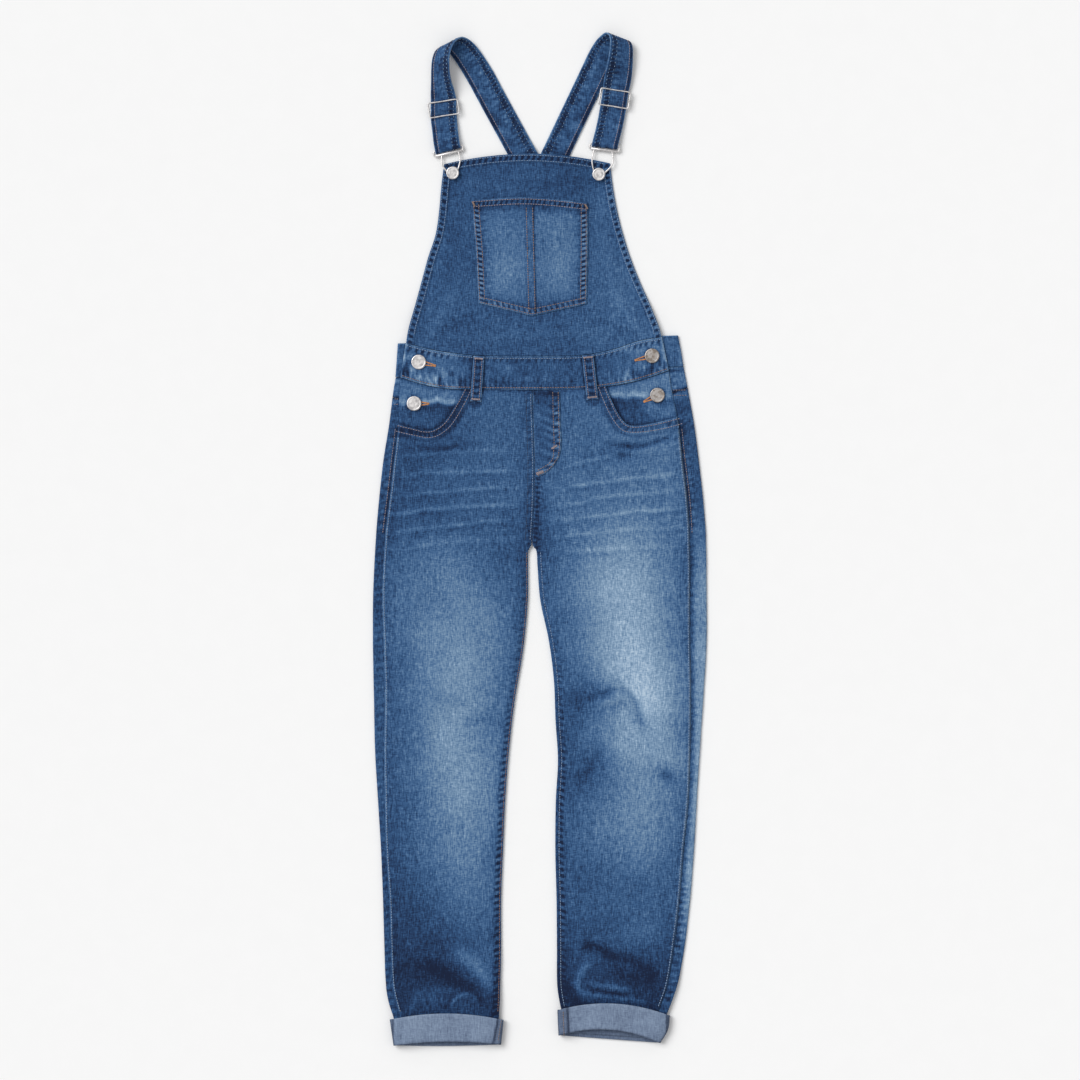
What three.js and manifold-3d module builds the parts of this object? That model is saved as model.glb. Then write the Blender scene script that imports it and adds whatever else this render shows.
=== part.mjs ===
// Denim dungarees laid flat with the front up, in millimetres.
// +X runs to the right as seen from above, +Y towards the shoulder straps and +Z up from the surface below.
// The origin is on that surface, under the middle of the garment. Left and right are as seen from above.
import * as THREE from "three";
import Module from "manifold-3d";
import { mergeVertices } from "three/addons/utils/BufferGeometryUtils.js";

const wasm = await Module();
wasm.setup();

// Cloth and clearances
const CLOTH = 1.2; // one layer of denim
const GAP = 0.3; // clearance at seams and between layers
const BACK_BAND = 1.6; // wall of the back waistband
const FRONT_BAND = 2.0; // wall of the front waistband, two layers pressed
const FACING = 1.0; // pocket facing behind the scoop
const STRAP = 2.0; // shoulder strap, two layers stitched flat
const STRAP_HALF = 15.5; // half the strap's width
const CUFF_WALL = 2.4; // rolled cuff, two turns pressed
const HEM_RISE = 0.8; // how far a turned hem stands above a single layer
const HEM_WIDTH = 9; // width of the stitched hems

// Heights above the surface
const LEG_FOLD = 3.0; // outer height of the back panel's fold along each side
const BAND_FOLD = 3.8; // the same on the back waistband
const FRONT_LOW = LEG_FOLD + GAP; // underside of the front panel at the side seam
const CROWN = 1.4; // how much the middle of a leg stands above its side seam
const BAND_LOW = BAND_FOLD + 0.4; // underside of the front waistband
const FACING_LIFT = FACING + GAP; // how much the pocket facing raises the front panel
const CUFF_LIFT = CUFF_WALL + GAP; // how much the cuff raises the leg inside it
const BIB_REST = 2.4; // underside of the bib over a single strap
const BIB_CROSS = 2.5; // extra height where the straps cross below it

// Metal
const SHANK = 3.0; // radius of a tack button's shank
const HEAD_THICK = 2.0;
const WAIST_BUTTON = 8.5; // radius of the four buttons at the sides
const BIB_BUTTON = 7.4; // radius of the two buttons on the bib
const WIRE = 0.9; // radius of the buckle and slider wire
const SLIDER_HALF = 17; // half the slider's width, to the middle of its wire
const BUCKLE_HALF = 17;
const BAR_Z = 3.6; // height of the buckle's bars
const BAR_STEP = 5.5; // from the buckle's lower bar to the one inside the strap
const LOOP_Z = 4.7; // height of the buckle's wire loop over the bib
const WRAP = 2.3; // radius of the strap's middle line round the buckle bar

const DENIM = { color: 0x3d6291, roughness: 0.92, metalness: 0 };
const DENIM_DARK = { color: 0x2b4a76, roughness: 0.92, metalness: 0 };
const DENIM_REVERSE = { color: 0x7d8ca8, roughness: 0.95, metalness: 0 };
const NICKEL = { color: 0xc9c8c6, roughness: 0.3, metalness: 1 };

// A table of rows with named columns, read between its rows with a smooth curve.
function table(columns, rows) {
  const names = columns.split(" ");
  const keys = rows.map((row) => row[0]);
  const rising = keys[keys.length - 1] > keys[0] ? 1 : -1;
  const slope = (column, i) => {
    const a = Math.max(i - 1, 0);
    const b = Math.min(i + 1, rows.length - 1);
    return (rows[b][column] - rows[a][column]) / (keys[b] - keys[a]);
  };
  return {
    rows,
    at(name, key) {
      const column = names.indexOf(name);
      let i = 0;
      while (i < rows.length - 2 && rising * (key - keys[i + 1]) > 0) i += 1;
      const span = keys[i + 1] - keys[i];
      const t = THREE.MathUtils.clamp((key - keys[i]) / span, 0, 1);
      const bend = span * t * (1 - t);
      const smooth = t * t * (3 - 2 * t);
      return (
        rows[i][column] * (1 - smooth) +
        rows[i + 1][column] * smooth +
        bend * ((1 - t) * slope(column, i) - t * slope(column, i + 1))
      );
    },
  };
}

// Legs: outer is the fold at the side, seam the side seam and inner the inseam, or the centre seam above the
// crotch.
const LEG = {
  left: table("y outer seam inner", [
    [187, -165.8, -160.2, -9.0],
    [172.5, -168.4, -161.5, -8.9],
    [132, -173.6, -162.8, -7.7],
    [92, -180.0, -167.4, -6.6],
    [46, -185.1, -172.8, -6.9],
    [11.5, -188.1, -177.2, -8.5],
    [-1, -188.9, -178.1, -9.6],
    [-7, -189.3, -178.5, -10.6],
    [-12, -189.6, -178.9, -13.4],
    [-28.7, -190.5, -180.0, -13.8],
    [-69, -192.0, -181.1, -14.0],
    [-126.5, -192.0, -179.2, -19.5],
    [-184, -190.9, -178.2, -29.0],
    [-241.5, -189.7, -179.0, -35.6],
    [-299, -186.3, -178.2, -40.0],
    [-356.5, -182.8, -177.0, -42.6],
    [-414, -180.5, -173.1, -44.8],
    [-471.5, -178.8, -171.5, -44.8],
    [-511.7, -177.2, -169.5, -45.7],
    [-532.4, -173.4, -165.0, -46.3],
    [-552, -167.6, -159.4, -47.4],
    [-578, -164.4, -156.5, -49.2],
  ]),
  right: table("y outer seam inner", [
    [199, 165.0, 147.3, -8.6],
    [172.5, 170.1, 151.4, -8.5],
    [132, 177.3, 159.2, -7.3],
    [92, 182.5, 163.6, -6.2],
    [46, 187.6, 169.1, -6.5],
    [11.5, 190.5, 171.5, -8.1],
    [-1, 190.8, 171.7, -8.9],
    [-7, 190.9, 171.8, -7.8],
    [-12, 191.0, 171.9, -4.2],
    [-28.7, 191.3, 172.2, -3.0],
    [-69, 191.6, 172.1, 0.3],
    [-115, 191.6, 172.3, 10.0],
    [-161, 189.2, 173.1, 15.9],
    [-207, 186.1, 173.1, 17.8],
    [-253, 183.1, 172.1, 20.6],
    [-299, 180.4, 170.4, 18.2],
    [-356.5, 177.1, 164.7, 17.6],
    [-414, 172.5, 160.0, 19.0],
    [-471.5, 165.7, 153.0, 19.5],
    [-511.7, 157.8, 146.1, 19.8],
    [-532.4, 151.0, 139.0, 23.0],
    [-548, 144.6, 133.6, 26.0],
    [-571.5, 136.4, 127.6, 27.2],
  ]),
};
// The front waistband from its left end to its right end: its upper and lower edge.
const WAIST = table("share xHigh yHigh xLow yLow", [
  [0, -154.3, 226.0, -160.2, 187.0],
  [0.09, -131.0, 220.0, -134.5, 179.0],
  [0.18, -106.0, 215.4, -108.0, 174.2],
  [0.3, -72.0, 211.8, -74.0, 173.0],
  [0.5, -8.0, 211.0, -8.0, 172.7],
  [0.69, 49.0, 212.1, 50.0, 173.8],
  [0.82, 86.0, 219.3, 91.0, 178.8],
  [0.91, 112.0, 228.2, 118.0, 184.8],
  [1, 140.0, 233.2, 147.9, 194.9],
]);
const waistHigh = table(
  "x y",
  WAIST.rows.map((row) => [row[1], row[2]]),
);
const waistLow = table(
  "x y",
  WAIST.rows.map((row) => [row[3], row[4]]),
);
// The bib's two side edges from the waistband up.
const BIB = table("share xLeft yLeft xRight yRight", [
  [0, -154.0, 226.4, 139.6, 233.6],
  [0.1, -151.0, 243.5, 137.2, 243.5],
  [0.24, -143.8, 269.1, 127.1, 269.1],
  [0.38, -136.3, 296.7, 115.0, 296.7],
  [0.52, -128.8, 324.3, 104.1, 324.3],
  [0.66, -119.9, 351.9, 95.4, 351.9],
  [0.78, -116.0, 378.3, 88.7, 378.3],
  [0.9, -113.4, 407.1, 83.6, 407.1],
  [1, -110.3, 432.0, 80.6, 433.0],
]);
const BIB_ARCH = { middle: -15, high: 443.6, half: 95, drop: 11.2 };
// How the bib lies: raised over the crossing of the straps and over the waistband, drooping at its sides.
const CROSSING = { x: 1, y: 406, halfX: 31, halfY: 47, full: 0.9, none: 2.1 };
const BIB_WAIST = { from: 282, to: 240, lift: 0.2 };
const BIB_DROOP = { depth: 1.9, narrow: 32, wide: 56, low: 300, high: 400, none: 262 };
const HEM_STEP = 0.006; // share of the bib in which a hem's rise ends
const BIB_SIZE = 200; // the bib's width and height, nearly

// The scoop of each front pocket, from the waistband to the side, and the middle of the pocket's mouth.
const SCOOP = {
  left: {
    corner: [-150, 172],
    edge: [
      [-86.9, 173.5],
      [-92.9, 161.9],
      [-104.8, 142.1],
      [-112.7, 132.8],
      [-123.3, 126.3],
      [-133.9, 125.6],
      [-144.4, 128.2],
      [-163.5, 133.0],
    ],
  },
  right: {
    corner: [140, 180],
    edge: [
      [75.2, 176.5],
      [81.9, 160.5],
      [89.7, 144.9],
      [97.7, 134.2],
      [105.6, 130.9],
      [118.8, 131.6],
      [138.6, 135.5],
      [160.0, 141.2],
    ],
  },
};
const UNDERLAP = { left: -122, right: 121 }; // where the back's button stand ends, below the front
const YOKE_LOW = { left: 164.4, right: 174.8, middle: 122 };
const SEAM_TOP = { left: 186.5, right: 194.5 }; // where the side seams meet the waistband
const CENTRE_TOP = 172; // where the centre seam meets it
const CROTCH = [-1, -7, -12]; // rows of the leg tables between which the legs part
// Where the rows of the back legs change their spacing
const BACK_STEPS = { hip: 25, thigh: -30, shin: -456, hem: -468 };
const BACK_MIDDLE = -8; // centre of the back waistband

// How the front panels swell and dip: the pocket facings raise them round each scoop's corner, and along the
// inseams they come down to the backs.
const MOUTH = { halfX: 82, halfY: 66, fade: 1.5 };
const INSEAM_DIP = { width: 9, from: 4, to: -26 };
const CROWN_SHAPE = { power: 1.6, cuffShare: 0.6, troughShare: 1.2 };
const FACING_REACH = 11; // how far the facing goes behind the scoop's edge
const PANEL_COLUMNS = [0, 0.06, 0.16, 0.28, 0.4, 0.52, 0.64, 0.76, 0.87, 0.95, 1];
const HEM_ROWS = { count: 9, end: 0.14 }; // closer rows over the cuff's folds
const BODY_ROWS = { count: 27, start: 0.16 };
const CUT_LOW = -5; // heights between which cutting tools reach
const CUT_HIGH = 20;
const ABOVE_WAIST = 230;
const BESIDE_SEAM = 12;

// Main folds of the front panels: a soft ridge or trough at x, y, along an angle in degrees.
const FOLDS = table("number x y angle length width height", [
  [0, -78, -508, -36, 90, 16, -1.7],
  [1, -58, -478, -38, 70, 14, 1.2],
  [2, -96, -531, 12, 46, 9, 0.9],
  [3, -69, -209, -15, 56, 14, -1.1],
  [4, -122, -192, 78, 76, 20, 0.8],
  [5, -126, 113, 8, 74, 8, -0.9],
  [6, 98, -484, -24, 92, 14, -1.8],
  [7, 84, -513, -12, 80, 10, 1.3],
  [8, 96, -527, -13, 70, 8, -0.9],
  [9, 106, -201, -42, 66, 14, -1.4],
  [10, 134, -204, -72, 96, 20, 0.9],
  [11, 144, -270, -28, 46, 12, -1.0],
  [12, 56, -266, 58, 66, 14, -0.8],
  [13, 114, 110, 12, 84, 8, -1.1],
]);

const CUFF = {
  left: {
    rings: table("share xLeft yLeft xRight yRight", [
      [0, -172.7, -551.0, -41.7, -551.4],
      [1, -168.4, -580.9, -44.6, -579.8],
    ]),
    frontHigh: 7.6,
    backHigh: 1.0,
    frontLow: 4.4,
    backLow: -1.2,
    liftFrom: -486,
    liftTo: -540,
    legEnd: [-577, -577],
    frontEnd: [-573, -573],
  },
  right: {
    rings: table("share xLeft yLeft xRight yRight", [
      [0, 19.9, -540.0, 149.4, -546.4],
      [0.5, 20.4, -555.0, 147.2, -562.5],
      [1, 21.2, -569.3, 138.4, -578.0],
    ]),
    frontHigh: 11.0,
    backHigh: 1.0,
    frontLow: 11.4,
    backLow: 0,
    liftFrom: -474,
    liftTo: -527,
    legEnd: [-566, -573],
    frontEnd: [-559, -562],
  },
};

// Shoulder straps from the back waistband to the buckle: a is the outer edge of the front part, b the inner.
const STRAP_BACK = {
  left: { x: -19.8, y: 443.9, dx: -0.481, dy: 0.877 },
  right: { x: 17.5, y: 443.1, dx: 0.43, dy: 0.903 },
};
const STRAP_RISE = {
  left: table("along z", [
    [-248, 2.9],
    [-231, 2.9],
    [-207, 1.0],
    [-106, 1.0],
    [-93, 2.5],
    [-78, 3.3],
    [-42, 3.3],
    [-14, 3.3],
    [-2, 2.4],
    [11, 1.0],
    [70, 1.0],
    [108, 1.1],
  ]),
  right: table("along z", [
    [-241, 2.9],
    [-226, 2.9],
    [-203, 1.0],
    [-100, 1.0],
    [0, 1.0],
    [60, 1.0],
    [104, 1.1],
  ]),
};
const STRAP_TURN = {
  left: table("row ax ay az bx by bz", [
    [0, -104.5, 560.0, 2.5, -77.0, 571.5, 4.0],
    [1, -113.0, 565.5, 5.0, -88.0, 577.3, 10.0],
    [2, -119.5, 562.0, 7.0, -96.0, 573.5, 17.0],
    [3, -123.3, 553.0, 7.0, -102.0, 562.5, 21.5],
    [4, -124.6, 541.5, 5.5, -104.2, 547.5, 22.0],
    [5, -125.0, 526.0, 4.2, -102.6, 530.0, 16.5],
    [6, -125.6, 512.0, 3.7, -98.4, 516.5, 7.2],
  ]),
  right: table("row ax ay az bx by bz", [
    [0, 85.3, 549.5, 1.6, 57.3, 562.5, 2.0],
    [1, 94.5, 564.5, 3.0, 65.5, 575.0, 4.5],
    [2, 102.5, 572.5, 6.0, 75.5, 582.3, 10.5],
    [3, 106.0, 567.0, 8.0, 80.0, 577.5, 15.5],
    [4, 106.5, 557.0, 7.5, 80.3, 565.0, 17.5],
    [5, 106.0, 541.0, 5.8, 77.2, 546.5, 14.5],
    [6, 104.2, 525.0, 4.0, 73.6, 530.5, 6.6],
  ]),
};
// Slider and buckle of each strap: the middle and the tilt of their bars, and where along the buckle's bar
// its wire loop starts and ends.
const HARDWARE = {
  left: {
    sliderHigh: [-110.7, 504.0],
    sliderLow: [-111.0, 487.5],
    sliderTilt: 9.0,
    below: [
      [-109.0, 470.5, 3.6],
      [-107.6, 458.5, 4.8],
    ],
    buckle: [-104.75, 444.5],
    buckleTilt: 13.6,
    button: [-100.4, 421.7],
    loopFrom: -8.4,
    loopTo: 11,
    loopOut: [-112.4, 431.0],
    loopBack: [-91.8, 436.6],
  },
  right: {
    sliderHigh: [87.0, 516.8],
    sliderLow: [84.4, 498.2],
    sliderTilt: -9.0,
    below: [
      [80.5, 478.0, 3.6],
      [77.0, 463.5, 4.8],
    ],
    buckle: [73.9, 448.2],
    buckleTilt: -6.5,
    button: [67.5, 420.2],
    loopFrom: -11.7,
    loopTo: 9,
    loopOut: [59.8, 434.5],
    loopBack: [83.4, 432.4],
  },
};
const SLIDER_RISE = 4.4; // how much the strap climbs over the slider's middle bar
const STRAP_LOW = 3.6; // middle of the strap's upper layer below the slider
const RETURN_LOW = 1.3; // middle of the layer that comes back from the buckle

const POCKET_BIB = {
  left: [
    [-78.2, 390.4],
    [-73.4, 330.0],
    [-70.6, 272.3],
  ],
  right: [
    [54.6, 387.3],
    [54.6, 330.0],
    [53.6, 271.4],
  ],
  high: [-13.1, 393.4],
  low: [-9.2, 257.6],
  height: 125,
  ridge: 0.026, // half the raised middle seam, as a share of the width
  ridgeRise: 0.6,
};
const FLY = table("y xLeft xRight", [
  [171.5, -7.6, 22.7],
  [137, -6.6, 23.3],
  [108, -5.8, 24.1],
  [93, -5.5, 20.5],
  [80, -5.3, 10.2],
  [72, -5.2, -2.4],
]);
const FLY_HIGH = 171.5;
const FLY_LOW = 72;
const FLY_GAP = GAP + 0.15;
const BELT_LOOPS = {
  left: { high: [-70.1, 211.0], low: [-73.8, 159.0], half: 6.2 },
  right: { high: [54.8, 212.4], low: [60.3, 161.4], half: 6.6 },
};
const LOOP_CLOTH = 1.6; // a belt loop's folded strip
const LOOP_ARCH = { rise: 0.5, middle: 190, half: 16 };
const WAIST_PUFF = 0.2; // how much the middle of the front waistband swells
const BUTTON_LIFT = GAP + 0.2; // from the cloth to a side button's head
// Side buttons, and the inner end of each one's buttonhole.
const SIDE_BUTTONS = {
  waist_left: { at: [-139.4, 204.5], hole: [-120.4, 200.2], rest: BAND_FOLD, cloth: BAND_LOW + FRONT_BAND },
  waist_right: { at: [128.7, 211.6], hole: [109.5, 206.5], rest: BAND_FOLD, cloth: BAND_LOW + FRONT_BAND },
  hip_left: { at: [-144.7, 156.9], hole: [-128.0, 156.6], rest: LEG_FOLD, cloth: FRONT_LOW + FACING },
  hip_right: { at: [134.9, 166.5], hole: [119.5, 159.0], rest: LEG_FOLD, cloth: FRONT_LOW + FACING },
};

const mix = (a, b, t) => a + (b - a) * t;
const arch = (t) => Math.sqrt(Math.max(0, 4 * t * (1 - t)));
const smooth = (from, to, x) => {
  const t = THREE.MathUtils.clamp((x - from) / (to - from), 0, 1);
  return t * t * (3 - 2 * t);
};

// A closed wall between two grids of points of the same size. A ring joins its last column to its first.
function wall(outside, inside, ring = false) {
  const rows = outside.length;
  const columns = outside[0].length;
  const points = [...outside.flat(), ...inside.flat()];
  const inner = rows * columns;
  const index = [];
  const quad = (a, b, c, d) => index.push(a, b, c, a, c, d);
  const at = (row, column) => row * columns + (column % columns);
  const spans = ring ? columns : columns - 1;
  for (let i = 0; i < rows - 1; i += 1)
    for (let j = 0; j < spans; j += 1) {
      const [a, b, c, d] = [at(i, j), at(i, j + 1), at(i + 1, j + 1), at(i + 1, j)];
      quad(a, b, c, d);
      quad(inner + d, inner + c, inner + b, inner + a);
    }
  for (let j = 0; j < spans; j += 1) {
    quad(at(0, j + 1), at(0, j), inner + at(0, j), inner + at(0, j + 1));
    quad(at(rows - 1, j), at(rows - 1, j + 1), inner + at(rows - 1, j + 1), inner + at(rows - 1, j));
  }
  if (!ring)
    for (let i = 0; i < rows - 1; i += 1) {
      const last = columns - 1;
      quad(at(i, 0), at(i + 1, 0), inner + at(i + 1, 0), inner + at(i, 0));
      quad(at(i + 1, last), at(i, last), inner + at(i, last), inner + at(i + 1, last));
    }
  return facingOut(points, index);
}

// The geometry of a closed surface, turned so that its faces point out.
function facingOut(points, index) {
  const a = new THREE.Vector3();
  const b = new THREE.Vector3();
  const c = new THREE.Vector3();
  let volume = 0;
  for (let i = 0; i < index.length; i += 3) {
    a.fromArray(points[index[i]]);
    b.fromArray(points[index[i + 1]]);
    c.fromArray(points[index[i + 2]]);
    volume += a.dot(b.cross(c));
  }
  if (volume < 0) index.reverse();
  return new THREE.BufferGeometry()
    .setAttribute("position", new THREE.Float32BufferAttribute(points.flat(), 3))
    .setIndex(index);
}

// A point of a four-sided panel, blended from its four edges.
function panelPoint(edges, u, v) {
  const { left, right, low, high } = edges;
  return [0, 1].map((k) => {
    const sides = mix(left(v)[k], right(v)[k], u);
    const ends = mix(low(u)[k], high(u)[k], v);
    const corners = mix(mix(low(0)[k], low(1)[k], u), mix(high(0)[k], high(1)[k], u), v);
    return sides + ends - corners;
  });
}

// A panel as a wall: us and vs are the grid lines, and under and over give its heights at a point.
function panel(edges, us, vs, under, over) {
  const flat = vs.map((v) => us.map((u) => [...panelPoint(edges, u, v), u, v]));
  const at = (height) => flat.map((row) => row.map(([x, y, u, v]) => [x, y, height(x, y, u, v)]));
  return wall(at(over), at(under));
}

const steps = (count, from = 0, to = 1) =>
  Array.from({ length: count + 1 }, (_, i) => mix(from, to, i / count));

// A smooth curve through a few points in the plane.
function curve(points) {
  const path = new THREE.SplineCurve(points.map(([x, y]) => new THREE.Vector2(x, y)));
  return (t) => path.getPoint(t).toArray();
}

function solid(geometry) {
  const bare = geometry.clone();
  bare.deleteAttribute("normal");
  bare.deleteAttribute("uv");
  const merged = mergeVertices(bare, 1e-4);
  return new wasm.Manifold(
    new wasm.Mesh({
      numProp: 3,
      vertProperties: merged.getAttribute("position").array,
      triVerts: new Uint32Array(merged.index.array),
    }),
  );
}

function geometryOf(manifold) {
  const mesh = manifold.getMesh();
  return new THREE.BufferGeometry()
    .setAttribute("position", new THREE.BufferAttribute(mesh.vertProperties, 3))
    .setIndex(new THREE.BufferAttribute(mesh.triVerts, 1));
}

const cut = (geometry, ...tools) =>
  geometryOf(tools.reduce((left, tool) => left.subtract(solid(tool)), solid(geometry)));
const join = (...pieces) => geometryOf(pieces.map(solid).reduce((a, b) => a.add(b)));

// An outline in the plane as a prism from one height to another.
function prism(points, from, to) {
  const shape = new THREE.Shape(points.map(([x, y]) => new THREE.Vector2(x, y)));
  return new THREE.ExtrudeGeometry(shape, { depth: to - from, bevelEnabled: false }).translate(0, 0, from);
}

// Heights of the front of the trousers

function foldHeight(x, y) {
  return FOLDS.rows.reduce((sum, [, cx, cy, angle, length, width, height]) => {
    const turn = THREE.MathUtils.degToRad(angle);
    const along = (x - cx) * Math.cos(turn) + (y - cy) * Math.sin(turn);
    const across = (y - cy) * Math.cos(turn) - (x - cx) * Math.sin(turn);
    return sum + height * Math.exp(-(((2 * along) / length) ** 2) - (across / width) ** 2);
  }, 0);
}

function cuffLift(side, y) {
  return CUFF_LIFT * smooth(CUFF[side].liftFrom, CUFF[side].liftTo, y);
}

function facingLift(side, x, y) {
  const [cx, cy] = SCOOP[side].corner;
  const far = Math.hypot((x - cx) / MOUTH.halfX, (y - cy) / MOUTH.halfY);
  return FACING_LIFT * (1 - smooth(1, MOUTH.fade, far));
}

// The underside of a front panel, u across from its side seam to its inner edge.
function frontUnder(side, x, y, u) {
  const width = Math.abs(LEG[side].at("inner", y) - LEG[side].at("seam", y));
  const toInner = (1 - u) * width;
  const { width: dipWidth, from, to } = INSEAM_DIP;
  const dip = (FRONT_LOW - CLOTH - GAP) * (1 - smooth(0, dipWidth, toInner)) * smooth(from, to, y);
  const { power, cuffShare, troughShare } = CROWN_SHAPE;
  const inCuff = smooth(CUFF[side].liftFrom, CUFF[side].liftTo, y);
  const crown = CROWN * arch(u) ** power * (1 - cuffShare * inCuff);
  const trough = Math.max(Math.min(0, foldHeight(x, y)), -crown * troughShare);
  return FRONT_LOW + crown - dip + trough + facingLift(side, x, y) + cuffLift(side, y);
}

function frontOver(side, x, y, u) {
  return frontUnder(side, x, y, u) + CLOTH + Math.max(0, foldHeight(x, y));
}

// The front panel's upper side at a place, without its share of the width.
function frontTop(side, x, y) {
  const leg = LEG[side];
  const u = THREE.MathUtils.clamp((x - leg.at("seam", y)) / (leg.at("inner", y) - leg.at("seam", y)), 0, 1);
  return frontOver(side, x, y, u);
}

const seamTopOf = (side) => waistLow.at("y", LEG[side].at("seam", SEAM_TOP[side])) - GAP;

function frontEdges(side) {
  const leg = LEG[side];
  const seamTop = seamTopOf(side);
  const innerTop = waistLow.at("y", leg.at("inner", CENTRE_TOP)) - GAP;
  const [innerEnd, seamEnd] = CUFF[side].frontEnd;
  const seam = (v) => mix(seamEnd, seamTop, v);
  const inner = (v) => mix(innerEnd, innerTop, v);
  const high = (u) => {
    const x = mix(leg.at("seam", seamTop), leg.at("inner", innerTop), u);
    return [x, waistLow.at("y", x) - GAP];
  };
  const low = (u) => {
    const x = mix(leg.at("seam", seamEnd), leg.at("inner", innerEnd), u);
    return [x, mix(seamEnd, innerEnd, u)];
  };
  return {
    left: (v) => [leg.at("seam", seam(v)), seam(v)],
    right: (v) => [leg.at("inner", inner(v)), inner(v)],
    low,
    high,
    crotch: CROTCH.map((y) => (y - innerEnd) / (innerTop - innerEnd)),
  };
}

// The points of a pocket's scoop, moved away from its corner by a distance.
function scoopPoints(side, away = 0) {
  const { corner, edge } = SCOOP[side];
  const path = curve(edge);
  return steps(16).map((t) => {
    const [x, y] = path(t);
    const reach = Math.hypot(x - corner[0], y - corner[1]);
    return [x + ((x - corner[0]) * away) / reach, y + ((y - corner[1]) * away) / reach];
  });
}

function frontLeg(side) {
  const edges = frontEdges(side);
  const hem = steps(HEM_ROWS.count, 0, HEM_ROWS.end);
  const rest = steps(BODY_ROWS.count, BODY_ROWS.start, 1);
  const body = panel(
    edges,
    PANEL_COLUMNS,
    [...hem, ...rest, ...edges.crotch].sort((a, b) => a - b),
    (x, y, u) => frontUnder(side, x, y, u),
    (x, y, u) => frontOver(side, x, y, u),
  );
  const out = side === "left" ? -1 : 1;
  const scoop = scoopPoints(side);
  const [lastX, lastY] = scoop[scoop.length - 1];
  const sideX = lastX + BESIDE_SEAM * out;
  const mouth = [[scoop[0][0], ABOVE_WAIST], ...scoop, [sideX, lastY], [sideX, ABOVE_WAIST]];
  return cut(body, prism(mouth, CUT_LOW, CUT_HIGH));
}

function pocketFacing(side) {
  const leg = LEG[side];
  const behind = scoopPoints(side, FACING_REACH);
  const seamX = (y) => leg.at("seam", y);
  const lowest = behind[behind.length - 1][1];
  const inside = { seam: 2, waist: 3 };
  const under = behind.filter(
    ([x, y]) => Math.abs(x) < Math.abs(seamX(y)) - inside.seam && y < waistLow.at("y", x) - inside.waist,
  );
  const topInner = [under[0][0], waistLow.at("y", under[0][0]) - GAP];
  const seamTop = seamTopOf(side);
  const sideEdge = steps(6, lowest, seamTop).map((y) => [seamX(y), y]);
  const waistEdge = steps(8, seamX(seamTop), topInner[0])
    .slice(1)
    .map((x) => [x, waistLow.at("y", x) - GAP]);
  const { at, hole } = SIDE_BUTTONS["hip_" + side];
  return cut(
    prism([...under, ...sideEdge, ...waistEdge], FRONT_LOW, FRONT_LOW + FACING),
    buttonhole(at, hole),
  );
}

// The back: walls that lie on the surface, turn up at the side and come back over themselves

function halfSection(xInner, xOuter, xLip, fold, offset) {
  const out = Math.sign(xOuter - xInner);
  const centre = xOuter - (out * fold) / 2;
  const radius = fold / 2 - offset;
  const arc = steps(4).map((t) => [
    centre + out * radius * Math.sin(Math.PI * t),
    fold / 2 - radius * Math.cos(Math.PI * t),
  ]);
  return [[xInner, offset], [mix(xInner, centre, 0.5), offset], ...arc, [xLip, fold - offset]];
}

// A back panel that turns up along its side. Each of its rows has an inner point, an outer point and a lip.
function foldedWall(side, rows) {
  const grid = (offset) =>
    rows.map(({ inner, outer, lip }) =>
      halfSection(inner[0], outer[0], lip, LEG_FOLD, offset).map(([x, z]) => {
        const y = mix(inner[1], outer[1], (x - inner[0]) / (outer[0] - inner[0]));
        return [x, y, z + cuffLift(side, y)];
      }),
    );
  return wall(grid(0), grid(CLOTH));
}

function lipX(side, y) {
  const seam = LEG[side].at("seam", y);
  const out = side === "left" ? -1 : 1;
  return mix(seam - out * 5, UNDERLAP[side], smooth(96, 128, y));
}

function backRows(side, yInner, yOuter) {
  const leg = LEG[side];
  return yInner.map((y, i) => ({
    inner: [leg.at("inner", y), y],
    outer: [leg.at("outer", yOuter[i]), yOuter[i]],
    lip: lipX(side, yOuter[i]),
  }));
}

function backLeg(side) {
  const [innerEnd, outerEnd] = CUFF[side].legEnd;
  const { hip, thigh, shin, hem } = BACK_STEPS;
  const middle = [...CROTCH, ...steps(11, thigh, shin)];
  const inner = [...steps(3, YOKE_LOW.middle - GAP, hip), ...middle, ...steps(9, hem, innerEnd)];
  const outer = [...steps(3, YOKE_LOW[side] - GAP, hip), ...middle, ...steps(9, hem, outerEnd)];
  return foldedWall(side, backRows(side, inner, outer));
}

const BACK_BAND_ROWS = table("row xLeft yLeft xRight yRight", [
  [0, -163.5, 226.0, 158.6, 235.2],
  [1, -164.8, 207.0, 162.2, 217.0],
  [2, -166.2, 187.3, 165.0, 199.3],
]);

function backYoke(side) {
  const [, xLeft, yLeft, xRight, yRight] = BACK_BAND_ROWS.rows[2];
  const innerX = LEG[side].at("inner", YOKE_LOW.middle);
  const middle = mix(yLeft, yRight, (innerX - xLeft) / (xRight - xLeft)) - 2 * GAP;
  const high = (side === "left" ? yLeft : yRight) - GAP;
  return foldedWall(side, backRows(side, steps(3, middle, YOKE_LOW.middle), steps(3, high, YOKE_LOW[side])));
}

function backWaistband() {
  const grid = (offset) =>
    BACK_BAND_ROWS.rows.map(([, xLeft, yLeft, xRight, yRight]) => {
      const left = halfSection(BACK_MIDDLE, xLeft, UNDERLAP.left, BAND_FOLD, offset);
      const right = halfSection(BACK_MIDDLE, xRight, UNDERLAP.right, BAND_FOLD, offset);
      return [...left.reverse(), ...right.slice(1)].map(([x, z]) => [
        x,
        mix(yLeft, yRight, (x - xLeft) / (xRight - xLeft)),
        z,
      ]);
    });
  return wall(grid(0), grid(BACK_BAND));
}

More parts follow.
